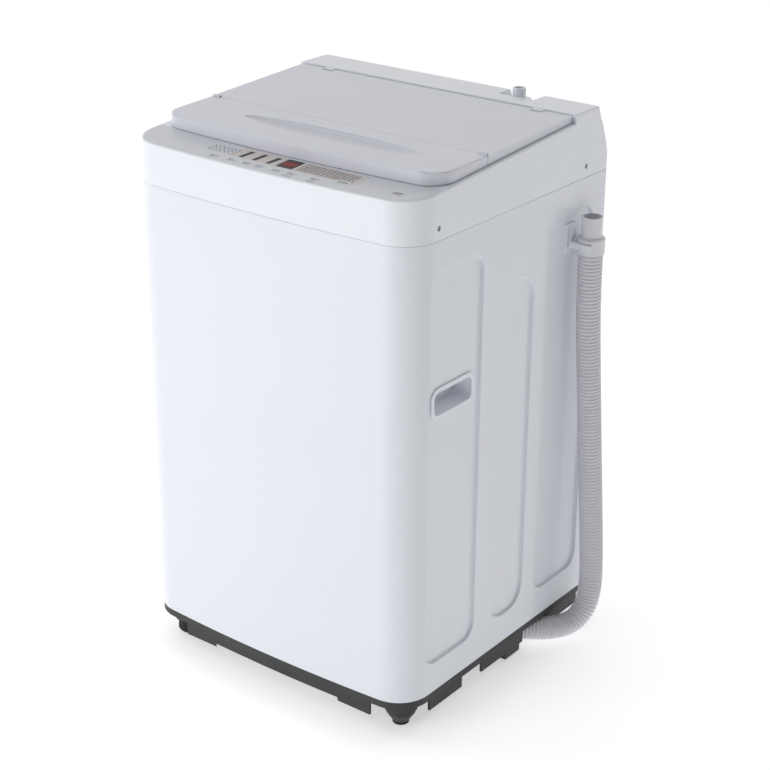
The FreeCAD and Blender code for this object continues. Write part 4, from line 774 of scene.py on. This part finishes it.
@dataclass
class Cabinet:
    """The painted steel cabinet, its grips, its back and the base below it."""

    outline: Outline = field(default_factory=Outline)
    seam_z: float = 0.784
    seam_soft: float = 0.0009
    recess_floor: float = 0.2605
    plate: tuple[float, float, float, float] = (-0.142, 0.537, 0.056, 0.036)
    wall_run: float = 0.0012
    rim_soft: float = 0.0007
    floor_soft: float = 0.0009
    recesses: tuple[Recess, ...] = (
        Recess(-0.203, -0.076, 0.109, 0.740, 0.028),
        Recess(-0.035, 0.057, 0.109, 0.672, 0.038),
        Recess(0.090, 0.216, 0.109, 0.740, 0.028),
    )

    def slope_walls(self, shell: bpy.types.Object) -> None:
        """Lean the recess walls by drawing the outline of each recess floor inwards.

        Args:
            shell: The cabinet skin.
        """
        for vertex in shell.data.vertices:
            if abs(abs(vertex.co.x) - self.recess_floor) > 0.0001:
                continue
            for recess in self.recesses:
                way = recess.inwards(vertex.co.y, vertex.co.z)
                if way:
                    vertex.co.y += way[0] * self.wall_run
                    vertex.co.z += way[1] * self.wall_run

    def recess_edge(self, place: Vector, reach: float) -> bool:
        """Whether an edge runs round a recess.

        Args:
            place: The edge's middle.
            reach: Distance of the wanted edges from the machine's middle plane.

        Returns:
            True for an edge of a recess away from the grip.
        """
        inside = -0.21 < place.y < 0.22 and 0.10 < place.z < 0.745
        return inside and abs(abs(place.x) - reach) < 0.0002 and not self.near_grip(place)

    def weld_plates(self, shell: bpy.types.Object) -> None:
        """Weld the grip plates into the recess floors so that no joint shows.

        Args:
            shell: The cabinet skin, with the plates joined to it.
        """
        middle_y, middle_z, reach_y, reach_z = self.plate
        only(shell)
        bpy.ops.object.mode_set(mode="EDIT")
        bpy.ops.mesh.select_mode(type="FACE")
        bpy.ops.mesh.select_all(action="DESELECT")
        mesh = bmesh.from_edit_mesh(shell.data)
        for face in mesh.faces:
            place = face.calc_center_median()
            off_y, off_z = abs(place.y - middle_y), abs(place.z - middle_z)
            on_y = abs(off_y - reach_y) < 0.0001 and off_z < reach_z + 0.0001
            on_z = abs(off_z - reach_z) < 0.0001 and off_y < reach_y + 0.0001
            face.select_set(abs(face.normal.x) < 0.1 and abs(place.x) > 0.25 and (on_y or on_z))
        bmesh.update_edit_mesh(shell.data)
        bpy.ops.mesh.delete(type="FACE")
        bpy.ops.mesh.select_all(action="SELECT")
        bpy.ops.mesh.remove_doubles(threshold=0.00002)
        bpy.ops.mesh.dissolve_limited(angle_limit=math.radians(0.2))
        bpy.ops.object.mode_set(mode="OBJECT")

    def build_skin(self) -> None:
        """Build the cabinet's skin with its soft recesses in one piece with the grip plates."""
        shell = merged_copy("cabinet_shell", "cabinet_skin")
        join([shell, merged_copy("grip_plates", "grip_sheets")])
        self.weld_plates(shell)
        self.slope_walls(shell)
        bevel(shell, lambda place: self.recess_edge(place, self.outline.half_width), self.rim_soft, 4)
        bevel(shell, lambda place: self.recess_edge(place, self.recess_floor), self.floor_soft, 4, 25.0)
        bevel(shell, self.seam_edge, self.seam_soft, 2)
        finish_mesh(shell)
        add_piece(shell, CABINET_PAINT, ["cabinet_shell", "grip_plates"])

    def near_grip(self, place: Vector) -> bool:
        """Whether a point lies on the flanged sheet round a grip."""
        return -0.205 < place.y < -0.080 and 0.495 < place.z < 0.580

    def seam_edge(self, place: Vector) -> bool:
        """Whether an edge runs round the outside of the cabinet's upper end."""
        outline = self.outline
        side = abs(place.x) > outline.half_width - 0.0005 or abs(place.y) > outline.bow_end
        return place.z > self.seam_z - 0.0005 and (side or outline.on_corner(place))

    def build(self) -> None:
        """Build every outer piece of the cabinet."""
        self.build_skin()
        refined("side_grips", FRAME_PLASTIC, 0.0009, 3)
        refined("rear_panel", CABINET_PAINT, 0.0004)
        refined("cabinet_screws", STEEL, 0.0004)
        refined("cord_gland", RUBBER)
        refined("base_frame", BASE_PLASTIC, 0.0007)
        refined("fixed_feet", RUBBER, 0.0008)
        refined("foot_pad", RUBBER, 0.0004)
        refined("foot_knob", BASE_PLASTIC)


# ---------------------------------------------------------------- top frame, panel and lid


@dataclass
class Rim:
    """The sloping plane that the panel and the lid follow."""

    front_y: float = -0.2565
    front_z: float = 0.848
    rear_y: float = 0.153
    rear_z: float = 0.875

    @property
    def slope(self) -> float:
        """Rise of the plane for each metre towards the back."""
        return (self.rear_z - self.front_z) / (self.rear_y - self.front_y)

    def height(self, y: float) -> float:
        """Height of the plane at a place along the depth."""
        return self.front_z + (y - self.front_y) * self.slope


@dataclass
class TopFrame:
    """The moulded top frame with the water inlet and the back cover."""

    rim: Rim = field(default_factory=Rim)
    outline: Outline = field(default_factory=Outline)
    edge_soft: float = 0.0024
    seam_soft: float = 0.0011
    seam_z: float = 0.784

    def outer_top_edge(self, place: Vector) -> bool:
        """Whether an edge runs round the outside of the sloping top.

        Args:
            place: The edge's middle.

        Returns:
            True for an outer edge, and False for the edges of the panel's seat.
        """
        outline = self.outline
        if place.z <= self.rim.height(place.y) - 0.002:
            return False
        if outline.in_corner(place):
            return outline.from_corner(place) > 0.0530
        return abs(place.x) > outline.half_width - 0.0015 or place.y < outline.front(place.x) + 0.0012

    def build(self) -> None:
        """Build the frame and what it carries."""
        body = merged_copy("top_frame", "top_frame_skin")
        join([body, merged_copy("rear_housing", "rear_housing_skin")])
        bevel(body, self.outer_top_edge, self.edge_soft, 4, 30.0)
        bevel(body, self.seam_edge, self.seam_soft, 2)
        finish_mesh(body)
        add_piece(body, FRAME_PLASTIC, ["top_frame", "rear_housing"])
        refined("rear_cover", FRAME_PLASTIC, 0.0006)
        refined("inlet_valve", FRAME_PLASTIC, 0.0012, 3)
        refined("lid_switch", GREY_PLASTIC, 0.0004)
        refined("water_level_sensor", GREY_PLASTIC, 0.0006)

    def seam_edge(self, place: Vector) -> bool:
        """Whether an edge runs round the outside of the frame's foot.

        Args:
            place: The edge's middle.

        Returns:
            True for an edge along the seam with the cabinet.
        """
        outline = self.outline
        side = abs(place.x) > outline.half_width - 0.0005
        end = place.y < -outline.bow_end or place.y > outline.half_depth - 0.001
        return place.z < self.seam_z + 0.0005 and (side or end or outline.on_corner(place))


@dataclass
class ControlPanel:
    """The printed control fascia with its display, keys and marks."""

    rim: Rim = field(default_factory=Rim)
    lift: float = 0.00022
    key_lift: float = 0.00052
    thickness: float = 0.00012
    edge_growth: float = 0.00025
    function_keys: tuple[float, ...] = (-0.099, -0.065, -0.037, -0.013, 0.019, 0.046, 0.088)
    bars: tuple[float, ...] = (-0.060, -0.035, -0.009)
    digits: tuple[float, ...] = (0.0128, 0.0205, 0.0282)
    digit_y: float = -0.210
    digit_half: float = 0.0045
    stroke: float = 0.0009
    dice: random.Random = field(default_factory=lambda: random.Random(7))

    def mark(
        self, x: float, y: float, width: float, depth: float, lean: float = 0.0, lift: float = 0.0
    ) -> bpy.types.Object:
        """Print one small raised mark on the fascia.

        Args:
            x: Middle of the mark across the machine.
            y: Middle of the mark along its depth.
            width: Size across.
            depth: Size along the depth.
            lean: How far the far edge is shifted across.
            lift: Height above the fascia.

        Returns:
            The mark.
        """
        bpy.ops.object.select_all(action="DESELECT")
        bpy.ops.mesh.primitive_plane_add(size=1.0, location=(0.0, 0.0, 0.0))
        piece = bpy.context.active_object
        for vertex in piece.data.vertices:
            place_x = x + vertex.co.x * width + lean * vertex.co.y
            place_y = y + vertex.co.y * depth
            vertex.co = (place_x, place_y, self.rim.height(place_y) + lift)
        bpy.ops.object.mode_set(mode="EDIT")
        bpy.ops.mesh.select_all(action="SELECT")
        bpy.ops.mesh.extrude_region_move(TRANSFORM_OT_translate={"value": (0.0, 0.0, self.thickness)})
        bpy.ops.mesh.select_all(action="SELECT")
        bpy.ops.mesh.normals_make_consistent(inside=False)
        bpy.ops.object.mode_set(mode="OBJECT")
        return piece

    def joined(
        self, marks: Sequence[bpy.types.Object], name: str, finish: Finish, near: str = "control_fascia"
    ) -> None:
        """Join marks into one printed piece.

        Args:
            marks: The marks.
            name: The piece's name.
            finish: Its finish.
            near: The node that it is printed on.
        """
        piece = join(marks)
        piece.name = name
        add_piece(piece, finish, [], near)

    def words(
        self, x: float, y: float, width: float, depth: float, lift: float, rows: int = 1
    ) -> list[bpy.types.Object]:
        """Rows of short dashes that stand for unreadable printing.

        Args:
            x: Left end of the block.
            y: Front edge of the block.
            width: Size across.
            depth: Size along the depth.
            lift: Height above the fascia.
            rows: How many rows.

        Returns:
            The marks.
        """
        marks = []
        row_depth = depth / rows
        for row in range(rows):
            reach = 0.0
            while reach < width * 0.97:
                dash = min(self.dice.uniform(0.0016, 0.0042), width - reach)
                middle_y = y + (row + 0.5) * row_depth
                marks.append(self.mark(x + reach + dash / 2, middle_y, dash, row_depth * 0.45, 0.0, lift))
                reach += dash + self.dice.uniform(0.0008, 0.0016)
        return marks

    def build_marks(self) -> None:
        """Print the strips, the bars, the lamp labels and the small print."""
        lift = self.lift
        strips = [
            self.mark(-0.0385, -0.2095, 0.085, 0.034, 0.0, lift - 0.00004),
            self.mark(0.094, -0.2095, 0.113, 0.034, 0.0, lift - 0.00004),
        ]
        self.joined(strips, "panel_strip", INK_BEIGE)
        bars = [self.mark(x, -0.2115, 0.0075, 0.026, 0.003, lift + 0.00006) for x in self.bars]
        self.joined(bars, "panel_bars", INK_BLACK)
        dots = []
        for column in range(7):
            for row in range(3):
                x, y = -0.125 + column * 0.0075, -0.221 + row * 0.0085
                dots.append(self.mark(x, y, 0.0032, 0.0018, 0.0, lift))
        for column in range(6):
            dots += self.words(-0.128 + column * 0.009, -0.2175, 0.005, 0.0016, lift)
            dots += self.words(-0.126 + column * 0.009, -0.2085, 0.005, 0.0016, lift)
        self.joined(dots, "lamp_labels", INK_GREY)
        print_rows = self.words(0.042, -0.2240, 0.100, 0.028, lift + 0.00003, 6)
        self.joined(print_rows, "small_print", INK_GREY)

    def build_key_marks(self) -> None:
        """Print the marks on the keys and the two lilac labels in front of them."""
        for number, x in enumerate(self.function_keys, 1):
            upper = self.words(x - 0.0060, -0.2395, 0.012, 0.0030, self.key_lift)
            lower = self.words(x - 0.0050, -0.2430, 0.010, 0.0030, self.key_lift)
            self.joined(upper + lower, "key_mark_%d" % number, INK_GREY, "function_key_%d" % number)
        lilac = []
        for x in (0.045, 0.088):
            lilac += self.words(x - 0.007, -0.2512, 0.014, 0.0042, self.lift)
        self.joined(lilac, "lilac_labels", INK_LILAC)
        start = self.words(0.122, -0.2315, 0.016, 0.006, self.key_lift, 2)
        self.joined(start, "start_mark", INK_GREY, "start_key")
        power = self.words(0.213, -0.2262, 0.014, 0.0086, self.key_lift, 3)
        self.joined(power, "power_mark", INK_DARK, "power_key")

    def build_fascia(self) -> None:
        """Build the fascia, grown a little so that no dark gap is left round it."""
        sheet = merged_copy("control_fascia", "fascia_sheet")
        low = min(vertex.co.y for vertex in sheet.data.vertices)
        for vertex in sheet.data.vertices:
            if vertex.co.y < low + 0.012:
                vertex.co.y -= self.edge_growth
        finish_mesh(sheet)
        add_piece(sheet, PANEL_FILM, ["control_fascia"])

    def build_display(self) -> None:
        """Light the digits behind the display window."""
        smoked = self.mark(0.0205, -0.2105, 0.0215, 0.0185, 0.0, self.lift)
        self.joined([smoked], "display_filter", SMOKED_RED, "display_window")
        lift = self.lift + 0.00005
        segments = []
        for digit in self.digits:
            for step in (1, 0, -1):
                level = self.digit_y + step * self.digit_half
                segments.append(self.mark(digit, level, 0.0036, self.stroke, 0.0, lift))
            for side in (0.0023, -0.0023):
                for step in (0.5, -0.5):
                    level = self.digit_y + step * self.digit_half
                    segments.append(self.mark(digit + side, level, self.stroke, 0.0034, 0.0, lift))
        self.joined(segments, "display_digits", GLOW_RED, "display_window")

    def build(self) -> None:
        """Build the fascia, the keys and the printing."""
        self.build_fascia()
        refined("display_window", DISPLAY_GLASS, 0.0002)
        refined("control_board", BOARD_GREEN, 0.0002)
        for number in range(1, 8):
            refined("function_key_%d" % number, PANEL_FILM, 0.0002)
        refined("start_key", PANEL_FILM, 0.0002)
        refined("power_key", PANEL_FILM, 0.0002)
        self.build_marks()
        self.build_key_marks()
        self.build_display()


@dataclass
class Lid:
    """The folding lid in two halves."""

    edge_soft: float = 0.0024
    rear_edge: float = 0.1503
    rear_growth: float = 0.0009

    top_z: float = 0.868
    side_x: float = 0.2575
    front_y: float = -0.178
    corner_x: float = 0.221
    corner_y: float = -0.1445
    corner_radius: float = 0.0360

    def outer_edge(self, place: Vector) -> bool:
        """Whether an edge runs round the outside of the lid's top.

        Args:
            place: The edge's middle.

        Returns:
            True for an outer edge of the top.
        """
        if place.z <= self.top_z:
            return False
        if abs(place.x) > self.corner_x - 0.002 and place.y < self.corner_y + 0.0045:
            return math.hypot(abs(place.x) - self.corner_x, place.y - self.corner_y) > self.corner_radius
        return place.y < self.front_y or abs(place.x) > self.side_x

    def build(self) -> None:
        """Build both halves and their pins."""
        for node in ("lid_front", "lid_rear"):
            half = merged_copy(node, node + "_skin", False)
            for vertex in half.data.vertices:
                if vertex.co.y > self.rear_edge:
                    vertex.co.y += self.rear_growth
            bevel(half, self.outer_edge, self.edge_soft, 4, 30.0, node == "lid_rear")
            finish_mesh(half, 32.0)
            add_piece(half, LID_PLASTIC, [node])
        refined("lid_pins", STEEL, 0.0002)


# ---------------------------------------------------------------- inside


@dataclass
class Inside:
    """The tub, basket, pulsator, drive and suspension."""

    finishes: dict[str, Finish] = field(
        default_factory=lambda: {
            "tub_cover": TUB_PLASTIC,
            "spin_bearings": STEEL,
            "shaft_seal": RUBBER,
            "drive_plate": STEEL,
            "gearcase": CAST_METAL,
            "motor": STEEL,
            "drain_valve": GREY_PLASTIC,
            "drain_actuator": GREY_PLASTIC,
            "drive_belt": RUBBER,
            "suspension_cups": NYLON,
            "suspension_brackets": STEEL,
            "suspension_rods": STEEL,
            "hose_outlet": GREY_PLASTIC,
            "basket_floor": TUB_PLASTIC,
            "balance_ring": GREY_PLASTIC,
            "lint_filter": NYLON,
            "spin_shaft": STEEL,
            "pulsator": TUB_PLASTIC,
            "agitate_shaft": STEEL,
            "pulsator_screw": STEEL,
            "driven_pulley": CAST_METAL,
            "motor_pulley": CAST_METAL,
        }
    )
    kept: dict[str, Finish] = field(
        default_factory=lambda: {
            "suspension_springs": STEEL,
            "drain_duct": RUBBER,
            "basket_drum": DRUM_STEEL,
            "outer_tub": TUB_PLASTIC,
        }
    )

    def build(self) -> None:
        """Refine or dress every inner piece."""
        for node, finish in self.finishes.items():
            refined(node, finish, 0.0008 if node == "pulsator" else 0.0005)
        for node, finish in self.kept.items():
            piece = frame["nodes"][node]
            piece.data.materials.clear()
            piece.data.materials.append(finish.build())


# ---------------------------------------------------------------- assembly


def main() -> None:
    """Build the scene in order."""
    logging.basicConfig(level=logging.INFO, format="%(name)s %(message)s")
    Studio().build()
    for assembly in (DrainHose(), Cabinet(), TopFrame(), ControlPanel(), Lid(), Inside()):
        assembly.build()
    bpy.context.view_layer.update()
    bpy.ops.object.select_all(action="DESELECT")


if __name__ == "__main__":
    main()
